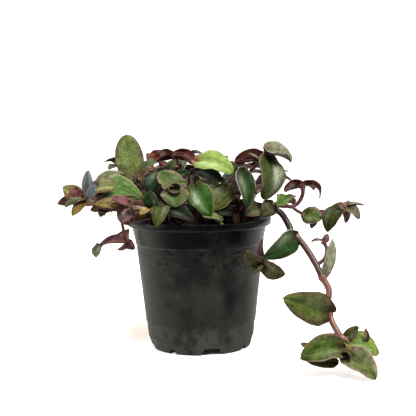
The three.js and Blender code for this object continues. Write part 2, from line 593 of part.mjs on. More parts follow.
function ruleShoot({ x, y, lean, height, turn, size }, index) {
  const draw = draws(FIRST_SEED + SEED_STEP * index);
  const heading = Math.atan2(y, x) + turn * DEGREE;
  const out = [Math.cos(heading), Math.sin(heading)];
  const points = [[x, y, ROOT_END_Z], [x, y, ROOT_TOP_Z]];
  for (const [far, high] of RISE) {
    points.push([x + out[0] * lean * far, y + out[1] * lean * far, ROOT_TOP_Z + height * high]);
  }
  const curve = stemCurve(points.slice(1));
  const last = points.length - 1;
  const leaves = [];
  let hand = 1;
  for (let at = FIRST_LEAF; at <= last; at += LEAF_SPACING) {
    const share = (at - 1) / (last - 1);
    const along = curve.getTangent(share);
    const side = along.clone().cross(new THREE.Vector3(0, 0, 1)).normalize().multiplyScalar(hand);
    const length = size * draw(LEAF_LENGTH);
    const reach = along.clone().multiplyScalar(draw(LEAF_AHEAD));
    reach.addScaledVector(side, draw(LEAF_ASIDE));
    reach.z += draw(LEAF_LIFT);
    const tip = curve.getPoint(share).addScaledVector(reach.normalize(), length);
    const facing = [draw(LEAF_TILT) + LEAF_OUTWARD * out[0], draw(LEAF_TILT) + LEAF_OUTWARD * out[1], 1];
    leaves.push([at, tip.toArray(), size * draw(LEAF_WIDTH), facing, draw(LEAF_ARCH), draw(LEAF_FOLD)]);
    hand = -hand;
  }
  const name = `stem_by_rule_${index + 1}`;
  return { name, color: '#4b5034', stems: [stem(RULE_STEM.thick, RULE_STEM.thin, points, leaves)] };
}

const shoots = [...SHOOTS, ...RULE_SHOOTS.map(ruleShoot)];
for (const shoot of shoots) {
  shoot.stems.forEach((one, index) => { one.rooted = index === 0; });
}

// A leaf row as a blade: its seat is on the middle line of its stem
function rowLeaf(one, [place, tip, width, facing, arch, fold, form = [BLADE_ROUNDNESS, BLADE_TAPER]]) {
  const above = one.rooted ? one.points.slice(1) : one.points;
  const start = one.rooted ? 1 : 0;
  const base = stemCurve(above).getPoint((place - start) / (above.length - 1));
  return { base, tip: vec(tip), width, facing: vec(facing).normalize(), arch, fold, form };
}

const boxesMeet = (a, b) => [0, 1, 2].every((k) => a.min[k] <= b.max[k] && b.min[k] <= a.max[k]);

const placed = [];
function place(owner, solid) {
  placed.push({ owner, solid, box: solid.boundingBox() });
}

function isClear(owner, solid) {
  const box = solid.boundingBox();
  return placed.every((other) => other.owner === owner || !boxesMeet(box, other.box)
    || solid.intersect(other.solid).volume() < TOUCH_VOLUME);
}

const pot = makePot();
const soil = makeSoil(shoots);
const bark = makeBark();
place('pot', pot);
place('soil', soil);
place('bark_chip', bark);
for (const shoot of shoots) {
  shoot.solids = shoot.stems.map(stemSolid);
  shoot.solids.forEach((solid) => place(shoot.name, solid));
}
for (const shoot of shoots) {
  for (const one of shoot.stems) {
    for (const row of one.leaves) {
      const leaf = rowLeaf(one, row);
      const lie = LIES.find((turned) => isClear(shoot.name, bladeSolid(laid(leaf, turned), CLEARANCE)));
      if (lie) {
        const solid = bladeSolid(laid(leaf, lie));
        shoot.solids.push(solid);
        place(shoot.name, solid);
      }
    }
  }
}

const group = new THREE.Group();
group.add(part('pot', pot, '#202221', 0.42));
group.add(part('soil', soil, '#2a1d16', 0.95));
group.add(part('bark_chip', bark, '#a0623a', 0.85));
for (const shoot of shoots) {
  const joined = shoot.solids.reduce((whole, piece) => whole.add(piece));
  group.add(part(shoot.name, wholeBody(joined), shoot.color, 0.5));
}

export default group;
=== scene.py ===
import math

import bpy
import numpy as np
from mathutils import Matrix, Vector, noise
from mathutils.bvhtree import BVHTree


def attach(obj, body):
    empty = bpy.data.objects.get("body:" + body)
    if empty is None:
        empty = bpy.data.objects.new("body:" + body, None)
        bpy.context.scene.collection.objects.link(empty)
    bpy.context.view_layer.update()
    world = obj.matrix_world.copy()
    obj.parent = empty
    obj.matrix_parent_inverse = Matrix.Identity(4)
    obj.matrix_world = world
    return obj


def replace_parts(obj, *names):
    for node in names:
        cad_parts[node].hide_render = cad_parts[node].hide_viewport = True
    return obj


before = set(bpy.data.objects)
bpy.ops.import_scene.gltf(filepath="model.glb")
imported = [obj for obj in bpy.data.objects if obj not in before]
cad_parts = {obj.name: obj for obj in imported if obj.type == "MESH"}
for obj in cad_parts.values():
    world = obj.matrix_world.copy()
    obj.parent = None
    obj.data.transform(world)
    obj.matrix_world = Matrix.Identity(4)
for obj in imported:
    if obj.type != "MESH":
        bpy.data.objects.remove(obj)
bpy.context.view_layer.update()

scene = bpy.context.scene
mm = 0.001

# The studio: white paper on the ground, a soft box at the front right, weaker ones behind and at
# the left, and a room that is brighter behind the plant than in front of it. The camera stands
# 0.67 m away with a long lens and looks a little down.
scene.view_settings.view_transform = "Standard"
scene.view_settings.look = "None"

camera_place = Vector((-2.45, -673.5, 166.1)) * mm
camera_pitch, camera_yaw, camera_roll = 0.097, 0.013, -0.014
camera_turn = Matrix.Rotation(math.pi / 2 - camera_pitch, 4, "X") @ Matrix.Rotation(camera_roll, 4, "Z")
lens = bpy.data.cameras.new("camera")
lens.lens = 80.35
lens.sensor_width = 36
lens.clip_start = 0.05
camera = bpy.data.objects.new("camera", lens)
camera.matrix_world = (Matrix.Translation(camera_place) @ Matrix.Rotation(-camera_yaw, 4, "Z")
                       @ camera_turn)
scene.collection.objects.link(camera)
scene.camera = camera


def soft_box(name, place, aim, size, power):
    light = bpy.data.lights.new(name, "AREA")
    light.shape = "DISK"
    light.size = size
    light.energy = power
    box = bpy.data.objects.new(name, light)
    box.location = place
    box.rotation_euler = (Vector(aim) - Vector(place)).to_track_quat("-Z", "Y").to_euler()
    scene.collection.objects.link(box)


soft_box("key_light", (0.3, -0.42, 0.85), (0, 0, 0.08), 0.42, 12)
soft_box("back_light", (-0.35, 0.6, 0.7), (0, 0, 0.1), 0.6, 5)
soft_box("side_light", (-0.85, -0.2, 0.22), (0, 0, 0.07), 0.5, 3.2)


def added(near, kind, **settings):
    """One more node in the tree of a node or a socket."""
    step = near.id_data.nodes.new(f"ShaderNode{kind}")
    for name, value in settings.items():
        setattr(step, name, value)
    return step


def put(value, socket):
    """Links a socket to another one, or gives it a steady value."""
    if isinstance(value, bpy.types.NodeSocket):
        socket.id_data.links.new(value, socket)
    else:
        socket.default_value = value


def socket_of(*values):
    """The first of some values that is a socket."""
    return next(value for value in values if isinstance(value, bpy.types.NodeSocket))


def maths(operation, first, second=0.0):
    """One sum on numbers or sockets; gives its output."""
    step = added(socket_of(first, second), "Math", operation=operation)
    put(first, step.inputs[0])
    put(second, step.inputs[1])
    return step.outputs[0]


def times(first, second):
    return maths("MULTIPLY", first, second)


def plus(first, second):
    return maths("ADD", first, second)


def minus(first, second):
    return maths("SUBTRACT", first, second)


def ramp(value, low, high, start=0.0, end=1.0):
    """Goes smoothly from start to end while the value goes from low to high."""
    step = added(value, "MapRange", interpolation_type="SMOOTHSTEP")
    put(value, step.inputs["Value"])
    for name, number in (("From Min", low), ("From Max", high), ("To Min", start), ("To Max", end)):
        step.inputs[name].default_value = number
    return step.outputs["Result"]


def blended(amount, first, second, mode="MIX"):
    """Two colours mixed by an amount; each may be a steady value or a socket."""
    step = added(socket_of(amount, first, second), "Mix", data_type="RGBA", blend_type=mode)
    for place, value in ((0, amount), (6, first), (7, second)):
        put(value, step.inputs[place])
    return step.outputs[2]


def scaled(place, factors):
    """A place stretched about the origin."""
    step = added(place, "Mapping")
    step.inputs["Scale"].default_value = factors
    put(place, step.inputs["Vector"])
    return step.outputs["Vector"]


def distance(place, centre):
    step = added(place, "VectorMath", operation="DISTANCE")
    put(place, step.inputs[0])
    step.inputs[1].default_value = centre
    return step.outputs["Value"]


def split(vector):
    """The sockets X, Y and Z of a vector."""
    step = added(vector, "SeparateXYZ")
    put(vector, step.inputs[0])
    return step.outputs


def cloud(place, scale, detail=3.0, stretch=(1, 1, 1), roughness=0.5):
    """Soft noise from 0 to 1 at a place, with its grains 1/scale metres wide."""
    step = added(place, "TexNoise")
    for name, number in (("Scale", scale), ("Detail", detail), ("Roughness", roughness)):
        step.inputs[name].default_value = number
    put(scaled(place, stretch), step.inputs["Vector"])
    return step.outputs["Fac"]


def object_place(near):
    return added(near, "TexCoord").outputs["Object"]


def camera_ray(near):
    return added(near, "LightPath").outputs["Is Camera Ray"]


def paint(code):
    """A colour written as on screen, as light values."""
    parts = [int(code[i:i + 2], 16) / 255 for i in (1, 3, 5)]
    return tuple(((c + 0.055) / 1.055) ** 2.4 if c > 0.04 else c / 12.92 for c in parts) + (1.0,)


def new_finish(name, roughness, specular=0.5):
    """A material with its shader's steady values set; gives both."""
    finish = bpy.data.materials.new(name)
    finish.use_nodes = True
    shader = finish.node_tree.nodes["Principled BSDF"]
    shader.inputs["Roughness"].default_value = roughness
    shader.inputs["Specular IOR Level"].default_value = specular
    return finish, shader


def started(add, **sizes):
    """A new simple mesh, made by one of Blender's own calls, with nothing else selected."""
    bpy.ops.object.select_all(action="DESELECT")
    add(**sizes)
    return bpy.context.object


# The room's light comes from above and behind; the camera sees plain white in its place
world = bpy.data.worlds.new("room")
world.use_nodes = True
scene.world = world
backdrop = world.node_tree.nodes["Background"]
backdrop.inputs["Color"].default_value = (1, 1, 1, 1)
backdrop.inputs["Strength"].default_value = 1.1
room_light = added(backdrop, "Background")
way = split(added(backdrop, "TexCoord").outputs["Generated"])
sky = plus(ramp(way["Z"], 0.3, 0.95, 0.0, 0.5), ramp(way["Y"], -0.8, 0.35, 0.06, 0.8))
put(sky, room_light.inputs["Strength"])
either = added(backdrop, "MixShader")
for place, source in enumerate((camera_ray(backdrop), room_light.outputs[0], backdrop.outputs[0])):
    put(source, either.inputs[place])
put(either.outputs[0], world.node_tree.nodes["World Output"].inputs["Surface"])

# The paper glows a little, more so far off, as the photo's ground does, with the pot's soft shade
# painted beside its foot. To all rays but the camera's it is dimmer, and dark in front of the plant.
shade_middle, shade_outer, shade_inner = (-45 * mm, 19 * mm, 0), 30 * mm, 5 * mm
shade_squeeze = (1, 0.42, 1)
floor = started(bpy.ops.mesh.primitive_plane_add, size=80, location=(0, 0, -0.1 * mm))
floor.name = "floor"
floor_paper, shader = new_finish("white_paper", 0.9, 0.0)
place = object_place(shader)
shaded = ramp(distance(scaled(place, shade_squeeze), shade_middle), shade_outer, shade_inner)
white = blended(cloud(place, 3.0, 2.0), paint("#fbfaf8"), paint("#fefdfb"))
white = blended(shaded, white, paint("#e4dacb"))
lit = maths("MAXIMUM", ramp(split(place)["Y"], -0.3, 0.0, 0.0, 0.75), camera_ray(place))
put(blended(lit, (0.05, 0.05, 0.05, 1), white), shader.inputs["Base Color"])
glow = times(ramp(distance(place, (0, 0, 0)), 0.1, 0.6, 0.56, 0.85), lit)
glow = times(glow, minus(1.0, times(shaded, 0.6)))
shader.inputs["Emission Color"].default_value = (1, 0.965, 0.92, 1)
put(glow, shader.inputs["Emission Strength"])
floor.data.materials.append(floor_paper)


# The pot: a thin moulded black polypropylene nursery pot, blown into its mould with a rolled
# lip, a collar, a step, a foot band and eight drain notches cut up from the foot.
pot_height = 94
lip_radius = 52.5
lip_depth = 5
lip_width = 3.5
wall = 1.3
collar_foot_z = 78.5
collar_foot_radius = 46.9
body_top_z = 76
body_top_radius = 46.2
band_z = 18.7
band_radius = 39.7
band_step = 0.5
chamfer_top_z = 8
chamfer_top_radius = 38.6
foot_radius = 35.6
floor_thickness = 1.6
edge_round = 0.6


def finished(piece, name, finish):
    """Names a piece, gives it its finish and body, and leaves its object at the origin."""
    piece.name = name
    piece.data.name = name
    if finish is not None:
        piece.data.materials.clear()
        piece.data.materials.append(finish)
    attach(piece, "root")
    return piece


def relief(shader, height, depth, strength=1.0):
    """Bumps of a depth in metres from a height that goes from 0 to 1."""
    step = added(shader, "Bump")
    step.inputs["Distance"].default_value = depth
    step.inputs["Strength"].default_value = strength
    put(height, step.inputs["Height"])
    put(step.outputs["Normal"], shader.inputs["Normal"])


def turned(profile, steps):
    """A body turned round the pot's axis from an open line of (radius, height) points."""
    body = started(bpy.ops.mesh.primitive_circle_add, vertices=len(profile), radius=1)
    for vertex, (radius, z) in zip(body.data.vertices, profile):
        vertex.co = (radius * mm, 0, z * mm)
        vertex.select = False
    for edge in body.data.edges:
        edge.select = set(edge.vertices) == {0, len(profile) - 1}
    bpy.ops.object.mode_set(mode="EDIT")
    bpy.ops.mesh.select_mode(type="EDGE")
    bpy.ops.mesh.delete(type="EDGE_FACE")
    bpy.ops.mesh.select_all(action="SELECT")
    bpy.ops.mesh.spin(steps=steps, angle=2 * math.pi, center=(0, 0, 0), axis=(0, 0, 1))
    bpy.ops.mesh.select_all(action="SELECT")
    bpy.ops.mesh.remove_doubles(threshold=0.01 * mm)
    bpy.ops.mesh.normals_make_consistent(inside=False)
    bpy.ops.object.mode_set(mode="OBJECT")
    return body


def chosen(*pieces):
    """Selects some pieces and nothing else, with the first one active."""
    bpy.ops.object.select_all(action="DESELECT")
    for piece in pieces:
        piece.select_set(True)
    bpy.context.view_layer.objects.active = pieces[0]


def applied(piece, kind, **settings):
    """Adds one modifier with its settings and applies it."""
    chosen(piece)
    modifier = piece.modifiers.new(kind.lower(), kind)
    for name, value in settings.items():
        setattr(modifier, name, value)
    bpy.ops.object.modifier_apply(modifier=modifier.name)


def stretched(points, widest):
    """The same line with no step longer than the widest one."""
    line = [points[0]]
    for (r0, z0), (r1, z1) in zip(points, points[1:]):
        count = max(1, math.ceil(math.hypot(r1 - r0, z1 - z0) / widest))
        line += [(r0 + (r1 - r0) * i / count, z0 + (z1 - z0) * i / count) for i in range(1, count + 1)]
    return line


lip_foot = pot_height - lip_depth
collar_top = lip_radius - lip_width
pot_outside = [
    (0, 1.2), (foot_radius - 3, 1.2), (foot_radius - 2.4, 0), (foot_radius, 0),
    (foot_radius + 0.8, 1.2), (chamfer_top_radius - 0.5, chamfer_top_z - 0.6),
    (chamfer_top_radius, chamfer_top_z), (chamfer_top_radius + 0.1, chamfer_top_z + 1),
    (band_radius - 0.05, band_z - 0.5), (band_radius + 0.1, band_z), (band_radius + band_step, band_z + 0.4),
    (band_radius + band_step + 0.1, band_z + 1.2), (body_top_radius - 0.05, body_top_z - 1),
    (body_top_radius + 0.1, body_top_z), (body_top_radius + 0.6, body_top_z + 0.5),
    (collar_foot_radius, collar_foot_z - 0.6), (collar_foot_radius + 0.1, collar_foot_z + 0.6),
    (collar_top - 0.2, lip_foot - 1.6), (collar_top, lip_foot - 0.9), (lip_radius - 1.2, lip_foot - 0.2),
    (lip_radius - 0.35, lip_foot + 0.3), (lip_radius, lip_foot + 1),
    (lip_radius, pot_height - 0.7), (lip_radius - 0.2, pot_height - 0.2),
    (lip_radius - edge_round, pot_height),
]
pot_inside = [
    (collar_top + wall / 2 + 0.3, pot_height), (collar_top + wall / 2 - 0.2, pot_height - 0.4),
    (collar_top - wall, lip_foot - 1), (body_top_radius - wall, body_top_z - 1),
    (chamfer_top_radius - wall, chamfer_top_z), (foot_radius - wall, floor_thickness), (0, floor_thickness),
]
pot = turned(stretched(pot_outside + pot_inside, 6.0), 144)

# Drain notches: wedges cut through the foot, wide and narrow in turn. Each has its width at the
# foot and at the top, and its height.
notch_count = 8
first_notch = math.radians(11.3)
wide_notch = (16.4, 10.6, 5)
narrow_notch = (5.5, 4, 3.2)
notch_inner_radius = 33
notch_reach = 20
for i in range(notch_count):
    foot, top, height = narrow_notch if i % 2 else wide_notch
    cutter = started(bpy.ops.mesh.primitive_cube_add, size=1)
    for vertex in cutter.data.vertices:
        x, y, z = vertex.co
        spread = foot if z < 0 else top
        outward = -(notch_inner_radius + (0.5 - y) * notch_reach) * mm
        vertex.co = (x * spread * mm, outward, (-1 if z < 0 else height) * mm)
    cutter.data.transform(Matrix.Rotation(first_notch + i * 2 * math.pi / notch_count, 4, "Z"))
    applied(pot, "BOOLEAN", operation="DIFFERENCE", solver="EXACT", object=cutter)
    bpy.data.objects.remove(cutter)

# Thin plastic pulled warm from its mould is never quite round
wobble = 0.22
mean_radius = 45
for vertex in pot.data.vertices:
    x, y, z = vertex.co / mm
    turn = math.atan2(y, x)
    swell = math.sin(3 * turn + z / 17) + 0.6 * math.sin(5 * turn - z / 11 + 1)
    swell += 0.4 * math.sin(9 * turn + z / 23)
    away = 1 + wobble * swell * min(z / pot_height, 1) / mean_radius
    vertex.co = Vector((x * away, y * away, z)) * mm
chosen(pot)
bpy.ops.object.shade_smooth_by_angle(angle=math.radians(38))

# Its skin is dull and cloudy with dried water and dust, with a painted dark reflection at the front
# right, and scuffed under the collar. The collar is glossier and has painted shade from the lip and
# the leaves. The left side and the right edge are paler with dust and painted light, the pale lines
# along the moulded steps are painted highlights, and the foot band is paler with dust and painted
# light thrown up from the floor.
black_plastic, shader = new_finish("black_plastic", 0.5, 0.07)
place = object_place(shader)
at = split(place)


def level_band(low, high, soft):
    """1 between two heights in millimetres, with soft ends."""
    rising = ramp(at["Z"], (low - soft) * mm, low * mm)
    return times(rising, ramp(at["Z"], (high + soft) * mm, high * mm))


smudges = cloud(place, 42, 6, (1, 1, 0.9), 0.66)
blots = cloud(place, 88, 6, (1, 1, 0.85), 0.68)
runs = cloud(place, 60, 4, (1, 1, 0.22))
scuffs = cloud(place, 150, 3, (1, 1, 2.6), 0.6)
scratches = cloud(place, 260, 3, (1, 1, 0.16), 0.6)

# A painted dark reflection on the front of the body, right of the middle
reflection_x, reflection_z, reflection_width, reflection_length = 21, 37, 5, 13
dark_reflection = times(minus(at["X"], reflection_x * mm), 1 / (reflection_width * mm))
dropped = times(minus(at["Z"], reflection_z * mm), 1 / (reflection_length * mm))
dark_reflection = plus(times(dark_reflection, dark_reflection), times(dropped, dropped))
dark_reflection = ramp(plus(dark_reflection, times(blots, 1.2)), 1.6, 0.5)
dark_reflection = times(dark_reflection, ramp(at["Y"], 0.0, -20 * mm, 0.0, 0.7))
scuffed = times(level_band(65, 74, 6), ramp(scuffs, 0.57, 0.62, 0.0, 0.9))
above = ramp(at["Z"], 72 * mm, 82 * mm)
# Painted shade on the collar under the lip and the leaves, weaker towards the left
collar_shade = plus(at["X"], times(blots, 12 * mm))
collar_shade = times(above, ramp(collar_shade, -38 * mm, -8 * mm, 0.1, 0.95))
patch = maths("ABSOLUTE", minus(at["X"], 13 * mm))
patch = times(ramp(patch, 15 * mm, 6 * mm, 0.0, 0.45), ramp(blots, 0.4, 0.56))
# The left side is paler: dust and painted light from the left
dusty = plus(at["X"], times(smudges, 14 * mm))
dusty = times(ramp(dusty, -12 * mm, -36 * mm), 0.5)
# The right edge is paler: dust and painted edge light
right_dust_and_edge_light = ramp(at["X"], 30 * mm, 44 * mm, 0.0, 0.5)
# The foot band is paler: dust and painted light thrown up from the floor
foot_dust_and_bounce = times(ramp(at["Z"], 21 * mm, 17.5 * mm), 0.55)
foot_dust_and_bounce = times(foot_dust_and_bounce, ramp(blots, 0.38, 0.58, 0.1, 1.0))
# Pale lines along the moulded steps: painted highlights, patchy and fading towards the right
steps = plus(level_band(75.9, 76.6, 0.5), times(level_band(18.8, 19.2, 0.5), 0.5))
steps = plus(steps, times(level_band(88.9, 89.3, 0.4), 0.5))
steps = times(steps, ramp(blots, 0.44, 0.6, 0.0, 0.4))
steps = times(steps, ramp(at["X"], 30 * mm, 0.0, 0.2, 1.0))

colour = blended(ramp(smudges, 0.38, 0.62), paint("#1a1c19"), paint("#2d2f2b"))
for amount, code in (
    (times(ramp(blots, 0.54, 0.66), 0.35), "#363834"), (times(ramp(runs, 0.54, 0.7), 0.2), "#2c2e2b"),
    (dark_reflection, "#090a09"), (scuffed, "#070807"), (collar_shade, "#010201"), (times(patch, above), "#2a2c29"),
    (dusty, "#454843"), (right_dust_and_edge_light, "#4d4c48"), (foot_dust_and_bounce, "#4b4842"), (steps, "#4c4e4a"),
    (times(ramp(scratches, 0.63, 0.68), ramp(runs, 0.46, 0.6, 0.0, 0.6)), "#0b0c0b"),
    (times(ramp(cloud(place, 900, 2), 0.68, 0.76), 0.3), "#5d5c53"),
):
    colour = blended(amount, colour, paint(code))
put(colour, shader.inputs["Base Color"])
dull = minus(ramp(smudges, 0.3, 0.7, 0.38, 0.52), times(above, 0.12))
put(plus(dull, times(foot_dust_and_bounce, 0.3)), shader.inputs["Roughness"])
relief(shader, cloud(place, 420, 4), 0.12 * mm, 0.35)

# The lip is rubbed bright by hands
lip_plastic, shader = new_finish("lip_plastic", 0.26, 0.12)
rubs = ramp(cloud(object_place(shader), 70, 4), 0.35, 0.65)
put(blended(rubs, paint("#030403"), paint("#0f100e")), shader.inputs["Base Color"])
pot.data.materials.clear()
pot.data.materials.append(black_plastic)
pot.data.materials.append(lip_plastic)
for face in pot.data.polygons:
    face.material_index = int(face.center.z > (lip_foot + 0.2) * mm)
finished(pot, "nursery_pot", None)
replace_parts(pot, "pot")


# The soil: dark potting mix pressed into the pot, with crumbs of peat and composted bark and a
# few pale bits of perlite on top. It lies just under the lip and is heaped a little in the middle.
soil_gap = 0.3
soil_edge_z = 89
soil_crown_z = 92.5
rim_inside = lip_radius - lip_width - wall - soil_gap
soil_line = [
    (0, floor_thickness + soil_gap), (foot_radius - wall - 2 * soil_gap, floor_thickness + soil_gap),
    (chamfer_top_radius - wall - 2 * soil_gap, chamfer_top_z),
    (body_top_radius - wall - 2 * soil_gap, body_top_z - 1), (rim_inside - soil_gap, soil_edge_z - 1.4),
]
soil_top = [(rim_inside - soil_gap, soil_edge_z - 1.4), (rim_inside - 3, soil_edge_z),
            (rim_inside * 0.6, soil_crown_z - 1), (0, soil_crown_z)]
soil = turned(stretched(soil_line, 12) + stretched(soil_top, 1.3)[1:], 128)


def soil_height(x, y):
    """The height of the smooth soil under a point, in millimetres."""
    radius = math.hypot(x, y)
    for (r0, z0), (r1, z1) in zip(soil_top, soil_top[1:]):
        if radius >= r1:
            return z1 + (z0 - z1) * min((radius - r1) / (r0 - r1), 1)


for vertex in soil.data.vertices:
    x, y, z = vertex.co / mm
    if z > soil_edge_z - 1.2:
        lump = noise.fractal(Vector((x, y, 3.0)) * 0.35, 0.6, 2.1, 4)
        vertex.co.z += (0.75 * lump - 0.4) * mm

potting_mix, shader = new_finish("potting_mix", 0.95, 0.2)
place = object_place(shader)
crumbs = cloud(place, 700, 4, roughness=0.7)
damp = cloud(place, 90, 2)
colour = blended(ramp(crumbs, 0.35, 0.7), paint("#0b0806"), paint("#2a1e16"))
colour = blended(ramp(damp, 0.4, 0.65), colour, paint("#100b08"))
put(colour, shader.inputs["Base Color"])
relief(shader, crumbs, 0.8 * mm, 0.8)

# Each crumb is one small lump, pressed out of round and sunk nearly halfway in. There are three
# kinds, with the share of each; sizes are radii.
crumb_count = 620
crumb_shares = (0.66, 0.29, 0.05)
crumb_smallest, crumb_range, crumb_lift = 0.35, 0.95, 0.15
seed = np.random.default_rng(41)
crumb_finishes = [potting_mix]
for name, code in (("peat_crumb", "#20150f"), ("bark_crumb", "#4a2f1e"), ("perlite", "#a9a69b")):
    finish, shader = new_finish(name, 0.9, 0.25)
    place = object_place(shader)
    grain = cloud(place, 1400, 3)
    shade = tuple(c * 0.5 for c in paint(code)[:3]) + (1.0,)
    put(blended(grain, shade, paint(code)), shader.inputs["Base Color"])
    relief(shader, grain, 0.3 * mm, 0.6)
    crumb_finishes.append(finish)
pattern = started(bpy.ops.mesh.primitive_ico_sphere_add, subdivisions=2, radius=1)
crumb_pieces = []
for i in range(crumb_count):
    radius = (rim_inside - 1.5) * math.sqrt(seed.random())
    turn = seed.random() * 2 * math.pi
    x, y = radius * math.cos(turn), radius * math.sin(turn)
    size = crumb_smallest + crumb_range * seed.random() ** 2.2
    kind = 1 + int(seed.choice(len(crumb_shares), p=crumb_shares))
    crumb = pattern.copy()
    crumb.data = pattern.data.copy()
    scene.collection.objects.link(crumb)
    shape = Matrix.Diagonal((size * (0.8 + 0.9 * seed.random()), size,
                             size * (0.5 + 0.4 * seed.random()), 1))
    spin = Matrix.Rotation(seed.random() * 6.3, 4, "Z") @ Matrix.Rotation(seed.random() - 0.5, 4, "X")
    seat = Matrix.Translation((x, y, soil_height(x, y) + crumb_lift * size))
    crumb.data.transform(Matrix.Scale(mm, 4) @ seat @ spin @ shape)
    for vertex in crumb.data.vertices:
        vertex.co += noise.noise_vector(vertex.co * 900) * 0.16 * size * mm
    for finish in crumb_finishes:
        crumb.data.materials.append(finish)
    for face in crumb.data.polygons:
        face.material_index = kind
    crumb_pieces.append(crumb)
bpy.data.objects.remove(pattern)


def joined(pieces):
    """Several pieces made one mesh; the first one keeps its name and materials."""
    chosen(*pieces)
    bpy.ops.object.join()
    return pieces[0]


for finish in crumb_finishes:
    soil.data.materials.append(finish)
soil = joined([soil] + crumb_pieces)
bpy.ops.object.shade_smooth()
finished(soil, "potting_soil", None)
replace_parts(soil, "soil")


# The bark chip: one flaky bit of orange-brown pine bark, milled small for the potting mix. It
# stands on the soil near the lip at the front right.
bark_length, bark_width, bark_height = 5.5, 4, 9
bark_turn, bark_lean = math.radians(24), math.radians(9)
bark_x, bark_y = 26, -24
flake_depth, flake_turns = 0.12, 7
chip = started(bpy.ops.mesh.primitive_ico_sphere_add, subdivisions=5, radius=0.5)
chip.data.transform(Matrix.Rotation(bark_turn, 4, "Z") @ Matrix.Rotation(bark_lean, 4, "X")
                    @ Matrix.Diagonal((bark_length, bark_width, bark_height, 1)))
foot = min(vertex.co.z for vertex in chip.data.vertices)
seat = Vector((bark_x, bark_y, soil_height(bark_x, bark_y) + soil_gap - foot))
for vertex in chip.data.vertices:
    lump = noise.fractal(vertex.co * Vector((0.5, 0.5, 0.28)), 0.7, 2.2, 5)
    flake = flake_depth * math.sin(vertex.co.x * flake_turns + 3 * lump)
    vertex.co = (vertex.co * (0.9 + 0.16 * lump + flake * 0.5) + seat) * mm
pine_bark, shader = new_finish("pine_bark", 0.88, 0.25)
place = object_place(shader)
layers = cloud(place, 520, 5, (1.6, 1.6, 0.35), 0.65)
colour = blended(ramp(layers, 0.3, 0.72), paint("#c0845a"), paint("#f8cc9c"))
colour = blended(ramp(cloud(place, 900, 2), 0.58, 0.7), colour, paint("#ffdcb4"))
put(colour, shader.inputs["Base Color"])
relief(shader, layers, 0.5 * mm, 0.8)
bpy.ops.object.shade_smooth()
finished(chip, "bark_chip_split", pine_bark)
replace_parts(chip, "bark_chip")


# The leafy stems. Each grew as one piece: a fleshy stem with a swollen joint and a papery sheath
# at every leaf, and leaves that are folded a little along the midrib. Points are millimetres.
blade_seat = 0.06
blade_taper = 0.78
blade_roundness = 0.6
ripple_height, ripple_waves, ripple_skew = 0.035, 9, 2
plump_height, groove_depth, groove_width = 0.085, 0.07, 0.09
wave_height, wave_turns = 0.035, 21
clasp_length, clasp_narrowing = 0.13, 0.25
leaf_thickness = 0.62
root_end_z = 80
root_top_z = 94


def root(x, y):
    """The two points of a stem's straight foot in the soil."""
    return [(x, y, root_end_z), (x, y, root_top_z)]


def unit(vector):
    return vector / np.linalg.norm(vector)


def curve_point(points, share):
    """A point on the smooth curve through the points, at a share of the way along."""
    points = [np.array(p, float) for p in points]
    last = len(points) - 1
    span = min(int(last * share), last - 1)
    t = last * share - span
    before = points[span - 1] if span > 0 else 2 * points[0] - points[1]
    after = points[span + 2] if span + 2 <= last else 2 * points[last] - points[last - 1]
    p1, p2 = points[span], points[span + 1]
    v1, v2 = (p2 - before) / 2, (after - p1) / 2
    return p1 + v1 * t + (-3 * p1 + 3 * p2 - 2 * v1 - v2) * t ** 2 + (2 * p1 - 2 * p2 + v1 + v2) * t ** 3


def turned_about(vector, axis, degrees):
    return np.array(Matrix.Rotation(math.radians(degrees), 3, Vector(axis)) @ Vector(vector))


def leaf_ways(leaf):
    """The ways along a leaf, out of its upper face and to its side."""
    along = unit(leaf["tip"] - leaf["base"])
    up = unit(leaf["facing"] - along * (leaf["facing"] @ along))
    return along, up, np.cross(along, up)


def half_width(leaf, share):
    roundness, taper = leaf["form"]
    run = blade_seat + (1 - blade_seat) * share ** taper
    return leaf["width"] / 2 * np.maximum(np.sin(math.pi * run), 0) ** roundness


def blade(leaf, share, across):
    """Points and outward directions of a leaf's middle sheet, as the solid leaf has it."""
    along, up, side = leaf_ways(leaf)
    length = np.linalg.norm(leaf["tip"] - leaf["base"])
    arch, width, rise = leaf["arch"], leaf["width"], math.radians(leaf["fold"])
    middle = (leaf["base"] + along * (length * share)[..., None]
              + up * (length * arch * 4 * share * (1 - share))[..., None])
    normal = up - along * (4 * arch * (1 - 2 * share))[..., None]
    normal = normal / np.linalg.norm(normal, axis=-1, keepdims=True)
    lean = (np.sign(across) * rise)[..., None]
    reach = side * np.cos(lean) + normal * np.sin(lean)
    out = normal * np.cos(lean) - side * np.sin(lean)
    ripple = width * ripple_height * np.sin(ripple_waves * share + ripple_skew * across) * np.abs(across)
    return middle + reach * (half_width(leaf, share) * across)[..., None] + out * ripple[..., None], out


def fine_blade(leaf, share, across):
    """The same sheet as it grew: its halves a little plump, its rim waved, its foot clasping the stem."""
    amount = np.abs(across)
    clasp = np.maximum(1 - share / clasp_length, 0) ** 1.5
    points, out = blade(leaf, share, across * (1 - clasp_narrowing * clasp))
    half = half_width(leaf, share)
    plump = plump_height * half * np.sin(math.pi * np.minimum(amount * 1.04, 1))
    groove = groove_depth * half * np.exp(-(amount / groove_width) ** 2)
    phase = leaf["chance"] * 30 + 3 * np.sign(across)
    wave = wave_height * half * np.sin(wave_turns * share + phase) * amount ** 4
    curl = -0.05 * half * np.maximum(amount - 0.75, 0) * 4
    close = 0.9 * half * clasp * amount
    return points + out * (plump + groove + wave + curl + close)[..., None]


